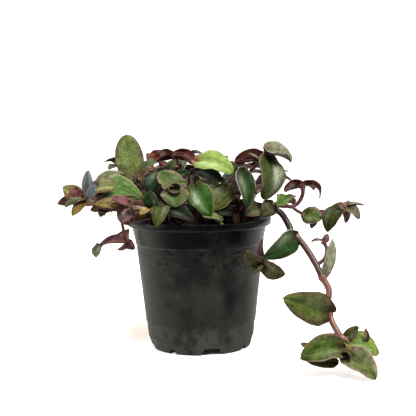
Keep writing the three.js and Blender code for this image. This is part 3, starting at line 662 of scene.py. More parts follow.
# A leaf that would cross a neighbour has turned and tipped, by these degrees, to the next lie that
# is clear. It is looked for on the solid at a few shares of its length.
lies = [(0, 0), (8, 0), (-8, 0), (0, 9), (0, -9), (15, 6), (-15, 6), (15, -9), (-15, -9), (0, 20), (0, -20)]
touch = 0.06
solid_half_thickness = 0.4
small_width = 9.5
small_stations, stations = (0.36, 0.84), (0.3, 0.66, 0.93)


def laid(leaf, turn, tip):
    _, up, side = leaf_ways(leaf)
    chord = turned_about(turned_about(leaf["tip"] - leaf["base"], side, tip), up, turn)
    return {**leaf, "tip": leaf["base"] + chord, "facing": turned_about(up, side, tip)}


def grown(leaf, solid):
    """The leaf in the lie that its solid has, or nothing where the solid stem has no such leaf."""
    best, most = None, 0
    for turn, tip in lies:
        tried = laid(leaf, turn, tip)
        share, across = np.meshgrid(small_stations if leaf["width"] < small_width else stations, (-1, 1))
        points, out = blade(tried, share, across)
        marks = np.concatenate([(points + out * solid_half_thickness).reshape(-1, 3),
                                (points - out * solid_half_thickness).reshape(-1, 3), [tried["tip"]]])
        found = sum(solid.find_nearest(Vector(mark) * mm)[3] < touch * mm for mark in marks)
        if found > most:
            best, most = tried, found
    return best if most > len(marks) / 2 else None


# The stems that the plant shows from the front, each as its solid has it. A stem is its foot and
# end radius, its points and its leaves; a leaf is the point it grows from, its tip, its width, the
# way its upper face looks, its arch, its fold in degrees and its tone.
shoots = {}
shoots["stem_trailing"] = [
    (2.4, 2.1, [*root(38, 2), (45, -3, 99), (52, -8, 99.5), (57, -14, 98.5), (60, -21, 95),
            (63, -27, 89), (64, -30, 85), (68, -34, 82), (74, -41, 74), (79, -48, 65), (82, -53, 58),
            (86, -58, 50), (85, -63, 41), (86, -68, 32), (91, -76, 22), (94, -79, 18), (93, -85, 12)], [
        (7.7, (43, -52, 71), 16.5, (-0.35, -0.85, -0.2), 0.14, 14, "deep"),
        (11.1, (90, -48, 83), 10, (0.5, -0.85, 0), 0.08, 16, "pale"),
        (13.6, (53, -81, 49), 22.5, (-0.2, -0.9, 0.2), 0.12, 12, "moss"),
        (16.6, (63, -91, 11), 22, (-0.05, -0.66, 0.75), 0.14, 22, "green"),
        (17, (109, -106, 1.5), 20, (-0.25, -0.5, 0.8), 0.1, 28, "dusty"),
        (16, (115, -82, 11), 20, (0.25, -0.62, 0.75), 0.16, 14, "streaked"),
        (15.7, (103, -75, 28), 8, (-0.3, -0.8, 0.5), 0.08, 24, "olive"),
        (15.2, (72, -70, 16), 7, (-0.2, -0.3, 0.9), 0.12, 22, "brown"),
    ]),
    (1.4, 1.2, [(64, -30, 85), (58, -36, 78), (51, -42, 73), (45, -46, 69), (42, -48, 67)], [
        (4, (43, -44, 83), 9, (0.8, 0.5, 0.1), -0.22, 26, "dusk"),
        (4, (31, -53, 76), 14, (-0.3, -0.8, -0.4), 0.1, 20, "dusk"),
        (4, (57, -58, 61), 15, (0.2, -0.85, -0.4), 0.12, 14, "dusk"),
        (4, (36, -52, 60), 9, (-0.3, -0.6, 0.6), 0.1, 20, "dusk"),
    ]),
    (1.5, 1.3, [(79, -48, 65), (85, -46, 69), (87, -42, 75), (85, -40, 80)], [
        (3, (76, -42, 80), 5, (0, -0.3, 1), 0.1, 25, "purple"),
        (3, (88, -39, 85), 6, (0.3, -0.8, 0.3), 0.1, 30, "purple"),
    ]),
]
shoots["stem_right_arm"] = [
    (1.7, 1.4, [*root(40, 9), (46, 7, 99), (53, 3, 101), (58, 0, 101.5), (63, -2, 101.5),
            (67, -4, 101), (72, -4, 104), (75, -4, 110), (75, -4, 117)], [
        (9, (62, 0, 112), 10, (0, 0.8, 0.6), 0.1, 26, "purple", (0.5, 0.8)),
        (9, (86, -12, 107.5), 9, (0.5, 0.5, 0.6), 0.34, 24, "purple"),
        (8.6, (84, 6, 112), 10, (0.3, 0.2, 0.9), 0.2, 22, "dusk"),
        (4.6, (64, 14, 106), 13, (0.2, 0.1, 0.95), 0.18, 18, "dark"),
    ]),
    (1.3, 1, [(67, -4, 101), (71, -6, 98), (75, -8, 96), (80, -9, 95), (85, -10, 95), (90, -11, 96),
            (95, -12, 98), (100, -13, 100), (104, -13, 101)], [
        (2, (87, -16, 93), 13, (0, -0.95, 0.2), 0.06, 10, "light"),
        (4, (79, -4, 99), 7, (0, -0.5, 0.8), 0.2, 24, "purple"),
        (4, (80, -13, 86), 7, (-0.2, -0.7, 0.4), 0.1, 24, "purple"),
        (7.4, (90.5, -20, 84), 15, (-0.6, -0.75, 0.2), 0.24, 12, "olive"),
        (7, (110, -5, 102), 8, (0, 0.3, 0.9), 0.15, 26, "pink"),
        (8, (104, -17, 90), 7, (0.3, -0.9, 0), 0.1, 24, "purple"),
        (8, (118, -14, 102), 6.5, (0, -0.2, 1), 0.06, 36, "tan"),
        (8, (113, -21, 93), 11, (0.4, -0.7, 0.5), 0.12, 18, "tan"),
    ]),
]
shoots["stem_centre_right"] = [
    (1.5, 1.2, [*root(26, 2), (28, 0, 105), (31, -2, 116), (36, -6, 126), (42, -13, 133),
            (47, -19, 138)], [
        (6, (44.5, -29, 109), 24, (0.6, -0.8, 0), 0.22, 14, "variegated", (0.55, 0.8)),
        (6, (65, -19, 134), 23, (-0.15, -0.4, 0.9), 0.12, 46, "pale", (0.42, 0.5)),
        (5.9, (26, -3, 133), 14, (0, 0.85, 0.5), 0.08, 32, "purple", (0.45, 0.9)),
        (3.2, (18, 6, 124), 13, (-0.2, -0.6, 0.75), 0.15, 18, "dark"),
        (4.4, (54, 6, 122), 15, (0.4, -0.2, 0.85), 0.18, 18, "dark"),
    ]),
]
shoots["stem_hanging_leaf"] = [
    (1.3, 1.1, [*root(20, -12), (15.5, -20, 106), (22, -27, 119), (29, -31, 130)], [
        (4, (33, -41, 105), 14, (0.35, -0.9, 0.1), 0.12, 16, "deep"),
        (4, (31, -22, 129), 7, (0, -0.5, 0.8), 0.1, 20, "pine"),
        (2.5, (40, -16, 114), 13, (0.2, -0.6, 0.8), 0.15, 18, "dusk"),
        (2.8, (6.5, -36, 102), 17, (0, -0.9, 0.4), 0.1, 10, "lime"),
    ]),
]
shoots["stem_yellow_leaf"] = [
    (1.3, 1.1, [*root(-3, -8), (-3, -12, 108), (-3, -16, 121), (-1.6, -20, 134.5)], [
        (4, (23.4, -29, 127.6), 18, (0.1, -0.75, 0.6), 0.2, 20, "yellow", (0.45, 0.8)),
        (3.6, (17, -30, 121), 12, (0, -0.8, 0.6), 0.14, 16, "pine"),
        (2.4, (-14, -4, 118), 12, (-0.2, -0.5, 0.8), 0.18, 18, "purple"),
        (2.2, (12, -4, 118), 13, (0.2, -0.5, 0.8), 0.18, 18, "dark"),
    ]),
]
shoots["stem_arching"] = [
    (1.3, 1.1, [*root(-12, 6), (-14, 6, 110), (-17, 5, 128), (-18, 5, 139)], [
        (4, (-32, 4, 134), 11, (0, 0.85, 0.6), 0.2, 24, "purple"),
        (4, (-2, 1, 131), 12, (0, 0.85, 0.6), 0.28, 22, "purple"),
        (3, (-22.8, -5, 131), 10, (-0.1, -0.6, 0.75), 0.15, 20, "grey"),
        (2.3, (-2, 18, 122), 14, (0.1, -0.2, 0.95), 0.2, 18, "dark"),
    ]),
]
shoots["stem_arching_left"] = [
    (1.3, 1.1, [*root(-24, 11), (-28, 13, 110), (-32, 13, 124), (-35, 11, 132)], [
        (4, (-35, 1, 140), 11, (-0.3, -0.75, 0.6), 0.12, 20, "russet"),
        (4, (-43, -2, 129), 10, (-0.2, -0.7, 0.6), 0.12, 22, "olive"),
        (3.4, (-21, -4, 129), 10, (0, -0.6, 0.8), 0.16, 18, "dark"),
        (3, (-50, 20, 122), 14, (-0.3, -0.1, 0.9), 0.2, 18, "dark"),
    ]),
]
shoots["stem_speckled_leaf"] = [
    (1.4, 1.2, [*root(-28, -2), (-36, -4, 104), (-44, -6, 113), (-47.5, -8, 121)], [
        (4, (-52, -3, 154.8), 20.5, (0.05, -1, 0.1), -0.04, 8, "speckled", (0.5, 1.05)),
        (3, (-33, -18, 120), 12, (0.1, -0.7, 0.7), 0.14, 18, "dark"),
        (2.6, (-26, -12, 104), 12, (0.3, -0.6, 0.7), 0.14, 18, "dark"),
    ]),
]
shoots["stem_back_left"] = [
    (1.3, 1.1, [*root(-26, 22), (-35, 18, 108), (-45, 13, 120), (-56, 8, 130)], [
        (4, (-68, 4, 135), 9, (-0.1, 0.5, 0.85), 0.2, 28, "maroon"),
        (4, (-64, -8, 130), 11, (-0.2, -0.5, 0.8), 0.1, 20, "olive"),
        (3, (-66, 26, 112), 15, (-0.4, 0.1, 0.9), 0.2, 16, "dark"),
        (2.4, (-34, 36, 116), 15, (-0.1, 0.4, 0.9), 0.2, 16, "dusk"),
    ]),
]
shoots["stem_bright_left"] = [
    (1.4, 1.1, [*root(-36, -11), (-45, -13, 103), (-56, -16, 110), (-66, -19, 115),
            (-72, -23, 118), (-75, -26, 112)], [
        (5, (-39.5, -37, 111), 23, (0.1, -0.7, 0.65), 0.12, 8, "bright"),
        (5.4, (-57.2, -40, 119.8), 16.5, (0, -0.85, 0.5), 0.14, 12, "umber", (0.45, 0.55)),
        (6, (-76.5, -31, 131), 12, (-0.5, -0.8, 0), 0.05, 16, "slate"),
        (5, (-54, -10, 127.5), 11, (0, -0.5, 0.8), 0.16, 18, "grey"),
        (4.6, (-82, -31, 106), 9, (-0.4, -0.8, 0.4), 0.12, 20, "umber"),
    ]),
]
shoots["stem_far_left"] = [
    (1.4, 1.1, [*root(-37, -20), (-45, -23, 101), (-58, -26, 103), (-70, -28, 106),
            (-76, -30, 108.5), (-80, -31, 111.5)], [
        (6, (-94, -35, 119.5), 13, (-0.1, -0.85, 0.5), -0.12, 22, "umber", (0.5, 0.9)),
        (6, (-98.5, -30, 108), 9, (-0.3, -0.85, 0.4), 0.1, 16, "russet"),
        (6, (-92.5, -38, 106), 7, (-0.3, -0.7, 0.6), 0.12, 20, "grey"),
        (5.6, (-87.9, -36, 100.1), 8, (-0.3, -0.9, 0.2), 0.12, 16, "amber"),
        (6, (-88.5, -40, 117), 7, (0, 0.85, 0.3), 0.16, 16, "maroon"),
        (3.5, (-68, -38, 99), 10, (-0.1, -0.7, 0.6), 0.16, 20, "amber"),
    ]),
]
shoots["stem_left_mid"] = [
    (1.4, 1.1, [*root(-28, -24), (-36, -30, 101), (-45, -36, 104), (-54, -39, 104),
            (-62, -39, 104)], [
        (5, (-75, -37, 104), 10, (0, -0.7, 0.7), 0.14, 20, "brown"),
        (3, (-62, -46, 111), 11, (0.3, 0.8, 0.5), 0.14, 20, "pink"),
        (3, (-35, -47, 107), 10, (0.2, 0.7, 0.6), 0.14, 24, "pink"),
        (4, (-47, -46, 94.5), 10, (-0.5, -0.8, 0.1), 0.1, 16, "russet"),
        (2, (-52, -45, 98), 10, (0, -0.6, 0.8), 0.2, 20, "brown"),
    ]),
]
shoots["stem_left_drooping"] = [
    (1.3, 1.1, [*root(-37, -6), (-46, -8, 100.5), (-52.5, -9, 99.5), (-55.5, -10, 94.5),
            (-55, -10.5, 88), (-53, -11, 82), (-52, -11, 78)], [
        (6.6, (-50.5, -16.5, 88), 8, (-0.3, -0.85, 0.3), 0.12, 26, "russet"),
        (6.8, (-72, -13, 76), 8.5, (0, 0.85, 0.5), 0.18, 20, "pink"),
        (7, (-46.5, -15.5, 73.5), 7.5, (0.3, -0.8, -0.3), 0.1, 20, "maroon"),
        (7, (-59, -15, 73), 6, (0, -0.7, -0.5), 0.1, 24, "pink"),
    ]),
    (1.1, 0.8, [(-54.5, -10.6, 86), (-60, -10, 82.5), (-66.5, -10, 79), (-72, -10, 76)], [
        (3, (-74.3, -15, 67.6), 9, (-0.5, -0.85, 0), 0.16, 12, "pale"),
    ]),
]
shoots["stem_front_rosette"] = [
    (1.3, 1.1, [*root(-10, -22), (-13, -28, 103), (-16, -33, 111), (-17, -36, 117)], [
        (4, (-16, -47, 106), 19.5, (0, -0.8, 0.6), 0.1, 10, "sage"),
        (4, (-26.6, -31, 129.5), 21, (0.45, -0.75, 0.45), -0.06, 26, "sage", (0.5, 0.7)),
        (3, (-31, -36, 111), 13, (-0.2, -0.8, 0.5), 0.14, 18, "dark"),
        (2, (-5, -48, 97), 14, (0.1, -0.85, 0.45), 0.16, 16, "dark"),
        (2.6, (-26, -33, 106), 11, (-0.1, -0.8, 0.5), 0.14, 18, "dark"),
    ]),
]
shoots["stem_front_green"] = [
    (1.3, 1.1, [*root(2, -22), (0, -30, 105), (-1.5, -35, 113), (-3, -38, 120)], [
        (4, (7.6, -49, 100), 17, (-0.15, -0.9, 0.4), 0.12, 10, "glossy"),
        (1.5, (15.3, -47.5, 96.8), 7, (0, -0.5, 0.85), 0.1, 24, "bright"),
        (1.6, (25, -37, 102), 12, (0.1, -0.8, 0.5), 0.14, 18, "dark"),
    ]),
]
shoots["stem_front_low"] = [
    (1.2, 1, [*root(-18, -32), (-20, -38, 101), (-24, -43, 107), (-29, -45, 107),
            (-34, -46, 104)], [
        (3, (-29, -55, 94), 12, (-0.1, -0.85, 0.5), 0.2, 16, "lime"),
        (5, (-40, -55, 98), 8, (-0.2, -0.8, 0.5), 0.16, 18, "amber"),
        (2.4, (-4, -51, 96.5), 12, (0, -0.75, 0.65), 0.14, 16, "dark"),
        (4.6, (-34, -47, 117.5), 11, (-0.1, -0.95, 0.2), 0.1, 18, "pine"),
    ]),
]
shoots["stem_dark_leaf"] = [
    (1.3, 1.1, [*root(-16, -10), (-18, -15, 105), (-21, -20, 116), (-24, -22, 128)], [
        (4, (-36.6, -26.5, 113.7), 17, (-0.3, -0.8, 0.5), 0.14, 12, "pine"),
        (3, (-8, -28, 121), 12, (0.2, -0.7, 0.65), 0.14, 18, "sage"),
        (2, (-36, -20, 106), 13, (-0.2, -0.7, 0.7), 0.14, 18, "dark"),
    ]),
]
shoots["stem_right_low"] = [
    (1.3, 1, [*root(34, -15), (40, -19, 99), (48, -22, 103), (56, -23, 106),
            (61, -22, 108)], [
        (3.4, (42.9, -34, 97.4), 13, (0.1, -0.95, 0.3), 0.12, 14, "olive"),
        (2.2, (27, -30, 107), 11, (0, -0.8, 0.6), 0.12, 16, "dark"),
        (5, (54, -33, 104), 11, (0, -0.8, 0.6), 0.12, 34, "bright"),
        (5, (69, -19, 109), 6, (0.2, -0.3, 0.9), 0.12, 24, "brown"),
        (2.6, (31, -36, 98.5), 12, (0.1, -0.85, 0.5), 0.12, 16, "dusk"),
    ]),
]


# The stems at the back and in the middle: each leans outward and nods at its end, with leaves in
# turn on its two sides. The sizes and the order of the draws are those of the solid stems.
rule_shoots = [
    dict(x=-36, y=10, lean=30, height=24, turn=14, size=24),
    dict(x=-14, y=34, lean=26, height=24, turn=-12, size=25),
    dict(x=4, y=38, lean=28, height=18, turn=16, size=24),
    dict(x=20, y=34, lean=27, height=26, turn=-8, size=25),
    dict(x=34, y=22, lean=30, height=22, turn=10, size=24),
    dict(x=2, y=24, lean=14, height=36, turn=-24, size=24),
    dict(x=16, y=12, lean=20, height=30, turn=24, size=22),
    dict(x=-10, y=20, lean=12, height=34, turn=10, size=22),
]
rule_radii = (1.4, 1.1)
rule_rise = [(0.22, 0.45), (0.5, 0.82), (0.8, 1), (1.05, 0.82)]
rule_tones = ["dark", "olive", "dusk", "green", "deep", "sage", "purple"]


def draws(state):
    """The same row of draws for the same seed, each from a low to a high value."""
    def draw(low, high):
        nonlocal state
        state = state * 16807 % 2147483647
        return low + (high - low) * state / 2147483647
    return draw


def curve_tangent(points, share):
    step = 0.0001
    low, high = max(share - step, 0), min(share + step, 1)
    return unit(curve_point(points, high) - curve_point(points, low))


for index, row in enumerate(rule_shoots):
    draw = draws(23757 + 7919 * index)
    heading = math.atan2(row["y"], row["x"]) + math.radians(row["turn"])
    out = (math.cos(heading), math.sin(heading))
    points = root(row["x"], row["y"])
    for far, high in rule_rise:
        points.append((row["x"] + out[0] * row["lean"] * far, row["y"] + out[1] * row["lean"] * far,
                       root_top_z + row["height"] * high))
    leaves = []
    hand, at, last = 1, 1.7, len(points) - 1
    while at <= last:
        share = (at - 1) / (last - 1)
        along = curve_tangent(points[1:], share)
        side = unit(np.cross(along, (0, 0, 1))) * hand
        length = row["size"] * draw(0.85, 1.15)
        reach = along * draw(0.5, 0.8) + side * draw(0.66, 1.1)
        reach[2] += draw(-0.09, 0.26)
        tip = curve_point(points[1:], share) + unit(reach) * length
        facing = (draw(-0.15, 0.15) + 0.2 * out[0], draw(-0.15, 0.15) + 0.2 * out[1], 1)
        width = row["size"] * draw(0.53, 0.71)
        tone = rule_tones[(index * 3 + len(leaves) * 2) % len(rule_tones)]
        leaves.append((at, tip, width, facing, draw(0.14, 0.24), draw(12, 22), tone))
        hand, at = -hand, at + 0.66
    shoots[f"stem_by_rule_{index + 1}"] = [(*rule_radii, points, leaves)]


# The colours of the leaves. A tone is the upper face, the blush towards the rim and the foot, the
# underside, the rim's fine line, and how speckled, yellow-streaked, blushed and mottled the leaf is.
tones = {
    "olive": ("#373e18", "#403020", "#562e30", "#74594a", 0.35, 0.1, 0.8, 1.0),
    "moss": ("#4c5928", "#54452f", "#562e30", "#74594a", 0.5, 0.0, 1.0, 1.0),
    "green": ("#455b20", "#584f2b", "#62383a", "#8d7766", 0.2, 0.1, 0.9, 1.1),
    "dusty": ("#5b6636", "#877665", "#62383a", "#9c8573", 0.3, 0.1, 1.0, 1.0),
    "streaked": ("#647a38", "#706632", "#643a3c", "#8f7c60", 0.3, 0.5, 0.6, 1.0),
    "bright": ("#4f6c2f", "#5b6c3c", "#7c4e54", "#9c9876", 0.1, 0.1, 0.6, 0.6),
    "light": ("#5b683a", "#5f583a", "#643d43", "#94806e", 0.15, 0.0, 0.6, 1.0),
    "glossy": ("#355f1e", "#515d2e", "#744445", "#86745a", 0.1, 0.1, 0.7, 0.9),
    "deep": ("#213c18", "#2e341c", "#48282c", "#aaa092", 0.1, 0.0, 0.7, 0.9),
    "pine": ("#1c361e", "#2c2e1f", "#40262a", "#7c7262", 0.1, 0.0, 0.7, 0.9),
    # The dark tone is near black: painted shade, for leaves deep in the crown
    "dark": ("#131a0d", "#1c1610", "#2c1819", "#463830", 0.1, 0.0, 0.7, 0.9),
    "sage": ("#47582d", "#6d604d", "#7a555c", "#84705f", 0.45, 0.0, 0.9, 0.65),
    "grey": ("#606949", "#726252", "#6d3f48", "#97857a", 0.3, 0.0, 0.75, 0.9),
    "slate": ("#798186", "#7e8286", "#55414b", "#b0aab0", 0.3, 0.0, 0.6, 0.6),
    "speckled": ("#6a7a44", "#5c4c42", "#6e464a", "#5e4038", 1.0, 0.5, 0.85, 1.0),
    "variegated": ("#38461f", "#484726", "#60363e", "#867863", 0.4, 0.25, 0.6, 1.0),
    "yellow": ("#859e50", "#98a45a", "#88903a", "#8a8c58", 0.0, 0.0, 0.4, 0.45),
    "lime": ("#424b1b", "#454320", "#6c5e3c", "#727044", 0.3, 0.2, 0.7, 1.0),
    "amber": ("#7b6936", "#81513d", "#8c5147", "#8a6648", 0.5, 0.3, 0.9, 1.0),
    "umber": ("#80844b", "#7e6048", "#82524f", "#68443a", 0.4, 0.1, 0.9, 1.0),
    "dusk": ("#48492d", "#51352d", "#4e2b2f", "#7a5c50", 0.3, 0.0, 0.9, 1.0),
    "brown": ("#563f32", "#644037", "#5b3938", "#8a6e5c", 0.4, 0.0, 0.9, 1.0),
    "russet": ("#603b34", "#714038", "#75423b", "#74503f", 0.2, 0.0, 0.9, 0.9),
    "purple": ("#685051", "#6f5055", "#6b3938", "#7c5652", 0.15, 0.0, 0.8, 0.9),
    "maroon": ("#724e52", "#7d5052", "#804e4f", "#7c524e", 0.15, 0.0, 0.8, 0.9),
    "pale": ("#7f8168", "#7e7765", "#6e4c54", "#a0978a", 0.45, 0.0, 0.7, 0.9),
    "rose": ("#754249", "#71494e", "#79454e", "#9a7c72", 0.3, 0.0, 0.8, 1.2),
    "young": ("#2b3716", "#3a3420", "#3a3a20", "#7a7050", 0.3, 0.0, 0.8, 1.0),
    "tan": ("#534c3d", "#655648", "#59423d", "#8c7a68", 0.6, 0.0, 0.8, 1.3),
    "pink": ("#795b50", "#8e6b67", "#906465", "#98806f", 0.2, 0.0, 0.8, 1.2),
}

# A pale, silvery painted highlight lies on one half of some leaves, to the left or to the right of
# the midrib, and the yellow leaf is red at its foot
painted_sheens = {"glossy": 0.7, "deep": 0.36, "pine": 0.3, "variegated": -0.85, "speckled": 0.0, "yellow": 0.4,
          "olive": 0.12, "sage": 0.12, "moss": 0.1}
foot_tint = {"yellow": "#96504a"}

# One flat blade is drawn once; every leaf is a copy of it, bent to its own form
blade_columns, blade_rows = 14, 30
flat_blade = started(bpy.ops.mesh.primitive_grid_add, x_subdivisions=blade_columns,
                     y_subdivisions=blade_rows, size=2)
flat = np.array([vertex.co for vertex in flat_blade.data.vertices])
blade_share = np.clip((flat[:, 1] + 1) / 2, 0, 1)
blade_across = np.clip(flat[:, 0], -1, 1)
blade_across = np.sign(blade_across) * np.abs(blade_across) ** 0.85
leaf_draw = np.random.default_rng(7)
light_low, light_span = 0.78, 0.34
painted_sheen_across, painted_sheen_along = (0.45, 0.34), (0.48, 0.26)
foot_reach = 0.16
rim_loss = 0.45


def leaf_form(base, tip, width, facing=(0, -0.8, 0.6), arch=0.1, fold=20,
              form=(blade_roundness, blade_taper)):
    """What sets one leaf's shape, with its own small chance of light and ripple."""
    return dict(base=np.array(base, float), tip=np.array(tip, float), width=width,
                facing=unit(np.array(facing, float)), arch=arch, fold=fold, form=form,
                chance=float(leaf_draw.random()))


def give(mesh, name, kind, values):
    """Stores a value or a colour for each point of a mesh."""
    attribute = mesh.attributes.get(name) or mesh.attributes.new(name, kind, "POINT")
    field = "color" if kind == "FLOAT_COLOR" else "value"
    attribute.data.foreach_set(field, np.ascontiguousarray(values, np.float32).ravel())


def leaf_piece(leaf, tone):
    """A copy of the flat blade, bent to the leaf's form, with its own colours, painted highlight and flesh.
    """
    piece = flat_blade.copy()
    piece.data = flat_blade.data.copy()
    scene.collection.objects.link(piece)
    points = fine_blade(leaf, blade_share, blade_across)
    piece.data.vertices.foreach_set("co", (points * mm).ravel())
    upper, blush, under, rim, speckle, streak, flush, mottle = tones[tone]
    count = len(points)
    light = light_low + light_span * leaf["chance"]
    for name, code in (("upper", upper), ("blush", blush), ("under", under), ("rim", rim)):
        shade = np.array(paint(code)) * (light, light, light, 1)
        give(piece.data, name, "FLOAT_COLOR", np.tile(shade, (count, 1)))
    if tone in foot_tint:
        tint = np.clip(1 - blade_share / foot_reach, 0, 1)[:, None]
        shade = np.array(paint(upper)) * (1 - tint) + np.array(paint(foot_tint[tone])) * tint
        give(piece.data, "upper", "FLOAT_COLOR", shade)
        give(piece.data, "blush", "FLOAT_COLOR", shade)
    sheen = painted_sheens.get(tone, 0.8 * (leaf["chance"] - 0.5))
    spread = ((blade_across - np.sign(sheen) * painted_sheen_across[0]) / painted_sheen_across[1]) ** 2
    spread += ((blade_share - painted_sheen_along[0]) / painted_sheen_along[1]) ** 2
    give(piece.data, "sheen", "FLOAT", abs(sheen) * np.exp(-spread))
    give(piece.data, "marks", "FLOAT_COLOR", np.tile((speckle, streak, flush, mottle), (count, 1)))
    give(piece.data, "chance", "FLOAT", np.full(count, leaf["chance"]))
    flesh = piece.vertex_groups.new(name="flesh")
    for index, amount in enumerate(np.abs(blade_across)):
        flesh.add([index], 1 - rim_loss * float(amount) ** 2, "REPLACE")
    return piece


def stored(near, name, output="Color"):
    """A value or a colour that the mesh keeps for each of its points."""
    return added(near, "Attribute", attribute_name=name).outputs[output]


def tinted(colour, factors):
    """A colour with its red, green and blue multiplied."""
    return blended(1.0, colour, (*factors, 1), "MULTIPLY")


def leaf_skin():
    """The skin of a leaf: blush, stripes, mottling, speckles, yellow streaks, a painted highlight on one
    half, the midrib, painted shade at the foot and a fine rim.
    """
    group = bpy.data.node_groups.new("leaf_skin", "ShaderNodeTree")
    for name, way, kind in (("Face", "INPUT", "Color"), ("Blush", "INPUT", "Color"),
                            ("Color", "OUTPUT", "Color"), ("Roughness", "OUTPUT", "Float"),
                            ("Height", "OUTPUT", "Float")):
        group.interface.new_socket(name, in_out=way, socket_type=f"NodeSocket{kind}")
    start = group.nodes.new("NodeGroupInput")
    end = group.nodes.new("NodeGroupOutput")
    place = object_place(start)
    sheet = split(added(start, "UVMap", uv_map="UVMap").outputs[0])
    across, share = sheet["X"], sheet["Y"]
    amount = maths("ABSOLUTE", minus(times(across, 2.0), 1.0))
    speckle, yellow, flush = split(stored(start, "marks", "Vector"))
    depth = stored(start, "marks", "Alpha")
    own = added(start, "CombineXYZ")
    for part, value in enumerate((across, share, times(stored(start, "chance", "Fac"), 40.0))):
        put(value, own.inputs[part])
    own = own.outputs[0]

    mottle = cloud(place, 230, 4, roughness=0.6)
    grain = cloud(place, 850, 3, roughness=0.65)
    freckle = cloud(place, 1500, 2)
    patches = cloud(own, 2.6, 3)
    bands = cloud(own, 1.0, 2, (9, 1.5, 1))
    lines = cloud(own, 1.0, 3, (34, 2.2, 1))
    threads = cloud(own, 1.0, 2, (90, 1.5, 1))
    scribble = cloud(own, 1.0, 3, (9, 7, 1))

    # Blush towards the rim and the foot, then stripes and mottling lighter and darker
    uneven = times(minus(patches, 0.5), 0.9)
    near_rim = ramp(plus(amount, uneven), 0.45, 1.0)
    near_foot = ramp(plus(share, uneven), 0.36, 0.0)
    blush = times(maths("MAXIMUM", near_rim, near_foot), flush)
    colour = blended(blush, start.outputs["Face"], start.outputs["Blush"])
    calm = minus(1.0, times(speckle, 0.8))
    shade = 0.0
    for pattern, weight in ((mottle, 1.5), (bands, calm), (lines, calm), (grain, 1.3)):
        shade = plus(times(minus(pattern, 0.5), weight), shade)
    shade = ramp(times(shade, depth), -0.42, 0.42)
    colour = blended(shade, tinted(colour, (0.42, 0.48, 0.44)), tinted(colour, (1.6, 1.5, 1.45)))

    # Pale and dark speckles, yellow streaks and a pale painted highlight that the stripes break up
    wander = maths("ABSOLUTE", minus(scribble, 0.5))
    wander = times(ramp(wander, 0.022, 0.006), speckle)
    streak = maths("MAXIMUM", wander, times(ramp(lines, 0.58, 0.68), calm))
    streak = times(times(streak, yellow), ramp(patches, 0.48, 0.6))
    broken = times(ramp(lines, 0.36, 0.62, 0.5, 1.0), ramp(mottle, 0.36, 0.6, 0.5))
    for strength, code in (
        (times(times(ramp(freckle, 0.56, 0.66), speckle), 0.5), "#98a46c"),
        (times(times(ramp(freckle, 0.44, 0.36), speckle), 0.5), "#2b3a1c"),
        (streak, "#bdb87a"), (times(stored(start, "sheen", "Fac"), broken), "#c6cdb0"),
    ):
        colour = blended(strength, colour, paint(code))

    # The midrib is darker, the foot darker still with painted shade where it sits in the crown, and the rim
    # is one fine line
    rib = times(ramp(amount, 0.08, 0.0), 0.45)
    colour = blended(rib, colour, tinted(colour, (0.5, 0.5, 0.45)))
    # Painted shade at the leaf's foot, less on leaves with calm markings
    foot = times(ramp(share, 0.45, 0.02, 0.0, 0.7), depth)
    colour = blended(foot, colour, tinted(colour, (0.4, 0.3, 0.3)))
    rim = times(ramp(plus(amount, uneven), 0.84, 0.95), 0.72)
    rim = times(rim, ramp(amount, 0.86, 0.93))
    put(blended(rim, colour, stored(start, "rim")), end.inputs["Color"])
    put(ramp(mottle, 0.25, 0.75, 0.34, 0.52), end.inputs["Roughness"])
    height = plus(times(threads, 0.6), times(lines, 0.5))
    height = plus(height, times(freckle, 0.25))
    put(plus(height, ramp(amount, 0.0, 0.06, -0.5, 0.0)), end.inputs["Height"])
    return group


skin = leaf_skin()


def leaf_finish(name, face, blush, specular):
    """One face of the leaves: the skin laid over that face's own colours."""
    finish, shader = new_finish(name, 0.45, specular)
    shader.inputs["Subsurface Weight"].default_value = 0.06
    shader.inputs["Subsurface Radius"].default_value = (0.5 * mm, 0.9 * mm, 0.3 * mm)
    body = added(shader, "Group", node_tree=skin)
    put(stored(shader, face), body.inputs["Face"])
    put(stored(shader, blush), body.inputs["Blush"])
    put(body.outputs["Color"], shader.inputs["Base Color"])
    put(body.outputs["Roughness"], shader.inputs["Roughness"])
    relief(shader, body.outputs["Height"], 0.1 * mm, 0.55)
    return finish


leaf_upper = leaf_finish("leaf_upper", "upper", "blush", 0.05)
leaf_under = leaf_finish("leaf_under", "under", "under", 0.07)
leaf_rim, shader = new_finish("leaf_rim", 0.5, 0.2)
edge = stored(shader, "rim")
rim_shade = ramp(cloud(object_place(shader), 260, 3), 0.3, 0.7)
put(blended(rim_shade, tinted(edge, (0.45, 0.4, 0.4)), edge), shader.inputs["Base Color"])


# The stems: smooth and fleshy, purple-brown with paler streaks. Each joint is swollen and holds a
# thin brown sheath, the closed foot of its leaf, which ends in a fine rim a few millimetres up.
sheath_length, sheath_below = 3.4, 0.3
sheath_thickness = 0.22
sheath_edge = 0.05
joint_swell, joint_reach = 0.3, 1.4
ring_sides = 12
tube_step = 0.8
stem_tones = {
    "brown": ("#43332b", "#604039"),
    "trailing": ("#2c2320", "#a05f4a"),
    "pink": ("#4e2e31", "#74424a"),
    "green": ("#424628", "#54452f"),
    "root": ("#6b4c34", "#8f6c4c"),
    "red": ("#451a16", "#6b2c24"),
}
stem_colours = {"stem_trailing": "trailing", "stem_right_arm": "pink", "stem_hanging_leaf": "green",
                "stem_front_green": "green", "stem_bright_left": "green"}


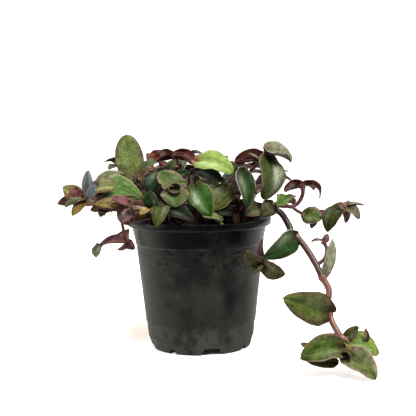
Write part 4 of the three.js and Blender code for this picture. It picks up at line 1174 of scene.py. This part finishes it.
def stem_piece(thick, thin, points, tone, joints=(), rooted=False):
    """A tube along the stem's curve with its joints and sheaths, and its colours along it."""
    above = points[1:] if rooted else points
    steps = 12 * (len(above) - 1)
    centres = [curve_point(above, i / steps) for i in range(steps + 1)]
    if rooted:
        centres.insert(0, np.array(points[0], float))
    run = np.concatenate([[0], np.cumsum([np.linalg.norm(b - a) for a, b in zip(centres, centres[1:])])])
    seats = [float(run[np.argmin([np.linalg.norm(c - joint) for c in centres])]) for joint in joints]
    fine = np.arange(0, run[-1], tube_step).tolist() + [run[-1]]
    for seat in seats:
        fine += [seat + sheath_length, seat + sheath_length + sheath_edge]
    fine = np.array(sorted(s for s in fine if s <= run[-1]))
    centres = np.stack([np.interp(fine, run, np.array(centres)[:, axis]) for axis in range(3)], axis=1)
    share = fine / run[-1]
    radii = thick + (thin - thick) * share
    near = np.zeros(len(fine))
    for seat in seats:
        past = fine - seat
        bump = np.exp(-(past / joint_reach) ** 2)
        radii = radii * (1 + joint_swell * bump)
        held = (past > -sheath_below) & (past <= sheath_length)
        radii = radii + held * sheath_thickness
        near = np.maximum(near, np.maximum(bump, held * 0.55))
    ends = np.unique([0.0, *seats, run[-1]])
    span = np.clip(np.searchsorted(ends, fine, side="right") - 1, 0, len(ends) - 2)
    ripe = (fine - ends[span]) / (ends[span + 1] - ends[span])
    curve = bpy.data.curves.new("stem", "CURVE")
    curve.dimensions = "3D"
    curve.bevel_depth = mm
    curve.bevel_resolution = ring_sides // 2 - 2
    curve.use_fill_caps = True
    line = curve.splines.new("POLY")
    line.points.add(len(centres) - 1)
    line.points.foreach_set("co", np.c_[centres * mm, np.ones(len(centres))].ravel())
    line.points.foreach_set("radius", radii)
    piece = bpy.data.objects.new("stem", curve)
    scene.collection.objects.link(piece)
    chosen(piece)
    bpy.ops.object.convert(target="MESH")
    piece = bpy.context.object
    body = np.array([vertex.co for vertex in piece.data.vertices]) / mm
    nearest = np.argmin(((body[:, None, :] - centres[None]) ** 2).sum(-1), axis=1)
    low, high = (np.array(paint(code)) for code in stem_tones[tone])
    colours = low + (high - low) * share[nearest][:, None] ** 2.4
    give(piece.data, "stem_tone", "FLOAT_COLOR", colours * (1 - 0.65 * ripe[nearest][:, None]))
    give(piece.data, "joint", "FLOAT", near[nearest])
    return piece


stem_skin, shader = new_finish("stem_skin", 0.42, 0.5)
streaks = cloud(object_place(shader), 420, 4, (1.5, 1.5, 0.4), 0.6)
tone = stored(shader, "stem_tone")
colour = blended(ramp(streaks, 0.35, 0.7), tone, tinted(tone, (1.7, 1.5, 1.5)))
colour = blended(times(stored(shader, "joint", "Fac"), 0.55), colour, paint("#8a5650"))
put(colour, shader.inputs["Base Color"])
put(ramp(streaks, 0.3, 0.7, 0.36, 0.55), shader.inputs["Roughness"])
relief(shader, streaks, 0.15 * mm, 0.5)


def fleshed(leaves, name):
    """One mesh of several bent sheets, with their thickness, thinner towards the rims."""
    leaves = joined(leaves)
    bpy.ops.object.mode_set(mode="EDIT")
    bpy.ops.mesh.select_all(action="SELECT")
    bpy.ops.mesh.remove_doubles(threshold=0.01 * mm)
    bpy.ops.object.mode_set(mode="OBJECT")
    for finish in (leaf_upper, leaf_under, leaf_rim):
        leaves.data.materials.append(finish)
    applied(leaves, "SOLIDIFY", thickness=leaf_thickness * mm, offset=0, vertex_group="flesh",
            material_offset=1, material_offset_rim=2)
    bpy.ops.object.shade_smooth_by_angle(angle=math.radians(55))
    return finished(leaves, f"leaves_{name}", None)


def skinned(tubes, name):
    """One mesh of several stems with the stem's skin."""
    tubes = joined(tubes)
    bpy.ops.object.shade_smooth_by_angle(angle=math.radians(60))
    return finished(tubes, f"stems_{name}", stem_skin)


for node_name, stems in shoots.items():
    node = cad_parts[node_name]
    solid = BVHTree.FromPolygons([vertex.co for vertex in node.data.vertices],
                                 [tuple(face.vertices) for face in node.data.polygons])
    leaves, tubes = [], []
    for number, (thick, thin, points, rows) in enumerate(stems):
        rooted = number == 0
        above = points[1:] if rooted else points
        first = len(points) - len(above)
        joints = []
        for place, tip, width, facing, arch, fold, tone, *form in rows:
            base = curve_point(above, (place - first) / (len(above) - 1))
            leaf = grown(leaf_form(base, tip, width, facing, arch, fold, *form), solid)
            joints.append(base)
            if leaf:
                leaves.append(leaf_piece(leaf, tone))
        stem_tone = stem_colours.get(node_name, "brown") if rooted else "pink"
        tubes.append(stem_piece(thick, thin, points, stem_tone, joints, rooted))
    name = node_name.replace("stem_", "")
    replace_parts(fleshed(leaves, name), node_name)
    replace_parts(skinned(tubes, name), node_name)


# The inner growth: short shoots with small dark leaves, many of them near black as painted shade,
# and old sheaths gone papery and brown, which fill the crown between the long stems. A free leaf's
# row is its tone, its foot, its tip and its width, and then its facing, arch, fold and outline where
# they aren't the usual ones.
inner_draw = np.random.default_rng(19)
inner_count = 24
inner_joints = (0.3, 0.5, 0.7, 0.85, 1.0)
inner_tones = ("dark", "pine", "dusk", "dark", "brown")
golden_turn = 2.4


def free_leaf(tone, *form):
    """A leaf that the solid stems leave out."""
    return leaf_piece(leaf_form(*form), tone)


inner_leaves, inner_stems = [], []
for i in range(inner_count):
    x, y = -42 + 76 * inner_draw.random(), -20 + 44 * inner_draw.random()
    rise = 12 + 17 * inner_draw.random()
    lean_x, lean_y = 8 * (inner_draw.random(2) - 0.5)
    foot = soil_height(x, y) - 1
    points = [(x, y, foot), (x + lean_x * 0.3, y + lean_y * 0.3, foot + rise * 0.5),
              (x + lean_x, y + lean_y, foot + rise)]
    turn = inner_draw.random() * 2 * math.pi
    joints = []
    for up in inner_joints:
        base = curve_point(points, up)
        turn += golden_turn
        reach = 7 + 6 * inner_draw.random()
        way = np.array([math.cos(turn), math.sin(turn), 0])
        tone = inner_tones[int(inner_draw.integers(len(inner_tones)))]
        tip = base + way * reach + [0, 0, 3 * inner_draw.random()]
        width = 5 + 3 * inner_draw.random()
        inner_leaves.append(free_leaf(tone, base, tip, width, -0.3 * way + [0, 0, 1], 0.18))
        joints.append(base)
    inner_stems.append(stem_piece(1.0, 0.8, points, "brown", joints))
inner_leaves += [free_leaf(*row) for row in (
    ("dark", (16, -4, 96), (24, -15, 111), 13, (0.2, -0.8, 0.6), 0.16, 18),
    ("dark", (18, -2, 94), (28, -12, 102), 12, (0.2, -0.7, 0.7), 0.16, 18),
    ("olive", (10, -8, 98), (17, -18, 121), 11, (0.2, -0.8, 0.5), 0.12),
    ("brown", (-30.9, -20, 130.6), (-40.6, -23, 128.5), 4.5, (0.2, -0.8, 0.5), 0.2, 30),
    ("brown", (-33.6, -22, 128.7), (-41.3, -24, 125.8), 4, (-0.3, -0.8, 0.4), 0.2, 30),
    ("pink", (-28, -14, 127), (-35, -19, 129.5), 5, (0, -0.7, 0.7), 0.24, 30),
    ("russet", (-18.5, -3, 138.9), (-4.8, -6, 133.8), 6, (0, 0.85, 0.5), 0.26, 22),
    ("brown", (-35.8, -10, 120.1), (-43.4, -12, 126.5), 8, (0, -0.8, 0.5)),
    ("sage", (-30.4, -12, 135.9), (-38.6, -14, 131.5), 6.5, (0, -0.7, 0.7)),
    ("dark", (30, 14, 92), (32, 11, 100), 7, (0, -0.8, 0.5)),
    ("dark", (34, 8, 97), (29, 9, 105), 8, (0, -0.8, 0.5)),
    ("sage", (-22.1, -8, 128.4), (-17.6, -9, 136.3), 8, (0.2, -0.8, 0.4)),
    ("maroon", (-21.4, -8, 129.1), (-28.4, -9, 135), 7, (-0.2, 0.8, 0.4)),
    ("dark", (-35.8, 2, 112.7), (-42, -2, 116.8), 8),
    ("dark", (-28.3, -6, 110.4), (-27.3, -8, 119.2), 8),
    ("dusk", (10.8, -4, 112.5), (13.7, -8, 121.4), 9),
    ("dark", (-35.7, 2, 120), (-41.2, 0, 127.5), 9),
    ("dusk", (25.1, -4, 102.1), (25.9, -6, 111.7), 8),
    ("pine", (19.5, 0, 109.1), (18.1, -4, 121.1), 9),
    ("russet", (91.3, -8, 96.4), (84, -9, 92.3), 8),
    ("pink", (103.6, -17, 99.6), (98.3, -19, 104.6), 6),
    ("brown", (67.3, -10, 104.2), (65.7, -12, 109.4), 5, (0, -0.8, 0.6), 0.1, 30),
    ("dusk", (73.3, -2, 115.8), (62.5, -8, 112), 6, (0, 0.8, 0.5), 0.16),
    ("dusk", (-38, -12, 116), (-42, -14, 124), 6, (0.3, -0.8, 0.4), 0.2),
    ("russet", (-28.6, -2, 140.8), (-37.2, -4, 135.6), 7.5, (0.1, 0.95, 0.25), 0.14, 14, (0.5, 0.6)),
    ("dark", (-26, -26, 112), (-31, -30, 118), 6, (0, -0.8, 0.5)),
    ("dark", (-6, -22, 104), (-9, -28, 110), 7, (0, -0.8, 0.5)),
    ("pine", (-16, -2, 122), (-7, -8, 127.5), 8, (0, -0.8, 0.6), 0.14, 16),
    ("brown", (-36, -20, 100), (-40, -26, 116), 8, (0.2, -0.9, 0.3)),
)]
fleshed(inner_leaves, "inner")
skinned(inner_stems, "inner")


# The growth at the left lip: broken leaves and sheaths lying over each other, seen from beneath,
# some turned pink and brown with age, and three thin roots that hang from a joint.
lip_leaves = [free_leaf(*row) for row in (
    ("umber", (-54, -39, 106), (-71, -44, 108), 11, (0, -0.55, 0.84), -0.12, 28),
    ("brown", (-70, -38, 110), (-77, -42, 107), 7, (-0.3, -0.8, 0.5), 0.12),
    ("pink", (-39, -37, 103), (-59, -43, 112), 13, (0.15, 0.85, 0.5), 0.1, 10),
    ("brown", (-42, -40, 106), (-57, -46, 105), 9, (0, 0.8, 0.6), 0.12, 18),
    ("pink", (-38, -40, 101), (-52, -47, 99), 7, (0, 0.7, 0.7), 0.12, 18),
    ("dusk", (-48, -30, 108), (-62, -34, 116), 9, (0, -0.7, 0.7), 0.12, 18),
    ("brown", (-44, -36, 108), (-56, -45, 101), 4, (0, -0.8, 0.5), 0.2, 12),
    ("dusk", (-36, -30, 104), (-46, -40, 111), 8, (0.1, -0.8, 0.5), 0.15, 18),
    ("pink", (-48, -34, 108), (-72, -38, 112), 10, (0.1, 0.75, 0.6), 0.06, 14),
    ("olive", (-56, -34, 110), (-76, -34, 113), 9, (0, -0.7, 0.6), -0.06),
    ("brown", (-38, -36, 98), (-51, -42, 95.5), 7, (-0.2, -0.8, 0.6), 0.2, 14),
    ("rose", (-46.5, -45, 108.5), (-59, -48, 113.3), 6.5, (0.1, -0.85, 0.5), 0.08, 16),
    ("purple", (-45.2, -46, 103.8), (-53.9, -50, 96.5), 8.5, (0, -0.9, 0.45), 0.12, 18),
    ("brown", (-33, -42, 99), (-46, -50, 96.5), 6, (0, -0.8, 0.6), 0.16, 18),
    ("pink", (-36, -34, 100), (-46, -46, 95.5), 6, (0, -0.7, 0.7), 0.24, 14),
    ("slate", (-75.4, -33.5, 110.6), (-70.5, -41, 121.5), 8, (-0.2, -0.9, 0.3), 0.1, 14),
    ("brown", (-35.7, -46, 105), (-48, -51, 108), 8, (0.1, -0.85, 0.5), 0.16, 30),
    ("amber", (-56.5, -40, 106.1), (-70.9, -45, 108.6), 8, (0, -0.85, 0.5), 0.16, 24),
    ("amber", (-59.3, -40, 103.6), (-69.7, -45, 105.4), 6, (0, 0.85, 0.4), 0.16, 24),
    ("lime", (-35.7, -46, 103.6), (-39.6, -50, 99.3), 5),
    ("maroon", (-81.3, -42, 117.5), (-88.6, -44.5, 115), 7.5, (0, 0.95, 0.2), 0.1, 12, (0.5, 0.6)),
    ("light", (15.2, -44, 96.2), (1.5, -49, 99.6), 6.5, (0, -0.6, 0.8)),
    ("slate", (-76, -28, 119), (-78.8, -28, 128.6), 5, (-0.4, -0.9, 0.1), 0.06, 14),
)]
lip_roots = [stem_piece(0.34, 0.16, points, "root") for points in (
    [(-62, -39, 104), (-62.5, -41.5, 101), (-64, -43, 98.5), (-63.4, -42.5, 95.8)],
    [(-62, -39, 104), (-64.5, -41, 101.5), (-65.5, -42, 99), (-67, -42, 96.9)],
    [(-60, -39, 104), (-61, -42, 100.5), (-60.3, -43, 98), (-61.5, -43.5, 96.8)],
)]
fleshed(lip_leaves, "left_lip")
skinned(lip_roots, "hanging_roots")


# The young leaves: still rolled round each other, each a sheet wound into a cone open at the top,
# in the heart of the front rosette and of the trailing stem's end, with small leaves by them.
def rolled_leaf(tone, base, way, length, radius, turns):
    """A free leaf whose sheet is wound into a cone."""
    piece = free_leaf(tone, base, np.array(base) + [0, 0, 1], 1, (0, -1, 0), 0, 0)
    axis = unit(np.array(way, float))
    side = unit(np.cross(axis, (0.3, 0.2, 1)))
    other = np.cross(axis, side)
    turn = -math.pi * turns * (blade_across + 1)
    width = radius * (1 + 0.12 * (blade_across + 1)) * (0.45 + 0.55 * blade_share ** 0.7)
    up = length * blade_share * (1 - 0.22 * blade_across ** 2)
    points = (np.array(base, float) + axis * up[:, None]
              + (side * np.cos(turn)[:, None] + other * np.sin(turn)[:, None]) * width[:, None])
    piece.data.vertices.foreach_set("co", (points * mm).ravel())
    return piece


young_leaves = [rolled_leaf(*row) for row in (
    ("olive", (-16.4, -36.5, 114.4), (0, -0.8, 0.6), 8, 3.9, 1.2),
    ("young", (94.6, -90.5, 14.6), (-0.45, -0.87, -0.1), 8.5, 3.5, 1.2),
)]
young_leaves += [free_leaf(*row) for row in (
    ("olive", (87.7, -91, 8.4), (63.9, -95, 13.2), 9, (0, -0.85, 0.5), -0.08, 10),
    ("brown", (107.5, -81, 20), (106, -82, 28.6), 4, (0.3, -0.9, 0.2), 0.1, 30),
    ("brown", (70, -84, 16), (64, -84, 19.5), 5, (0, -0.8, 0.6), 0.1, 30),
    ("grey", (46.5, -15, 135), (35.5, -6, 141), 8, (0.1, -0.6, 0.8), 0.1, 16),
)]
fleshed(young_leaves, "young")

# Four thin bent stems show between the leaves, three of them red; the first is a hook
skinned([stem_piece(*row) for row in (
    (0.85, 0.7, [(-6.4, -19, 112), (-7.2, -20, 121), (-6.6, -20.5, 127), (-4.8, -21, 130),
                 (-2.8, -20.5, 127), (-2.4, -19, 119)], "red"),
    (0.7, 0.6, [(19.1, -12, 100), (24, -13, 114), (29.2, -14, 124.4)], "red"),
    (0.9, 0.7, [(23.3, -14, 98), (24, -15, 110), (26.3, -16, 121.8)], "red"),
    (0.8, 0.6, [(14, -12, 104), (20, -12, 119), (26.5, -12, 127.2)], "brown"),
)], "bent_red")
bpy.data.objects.remove(flat_blade)


bpy.context.view_layer.update()
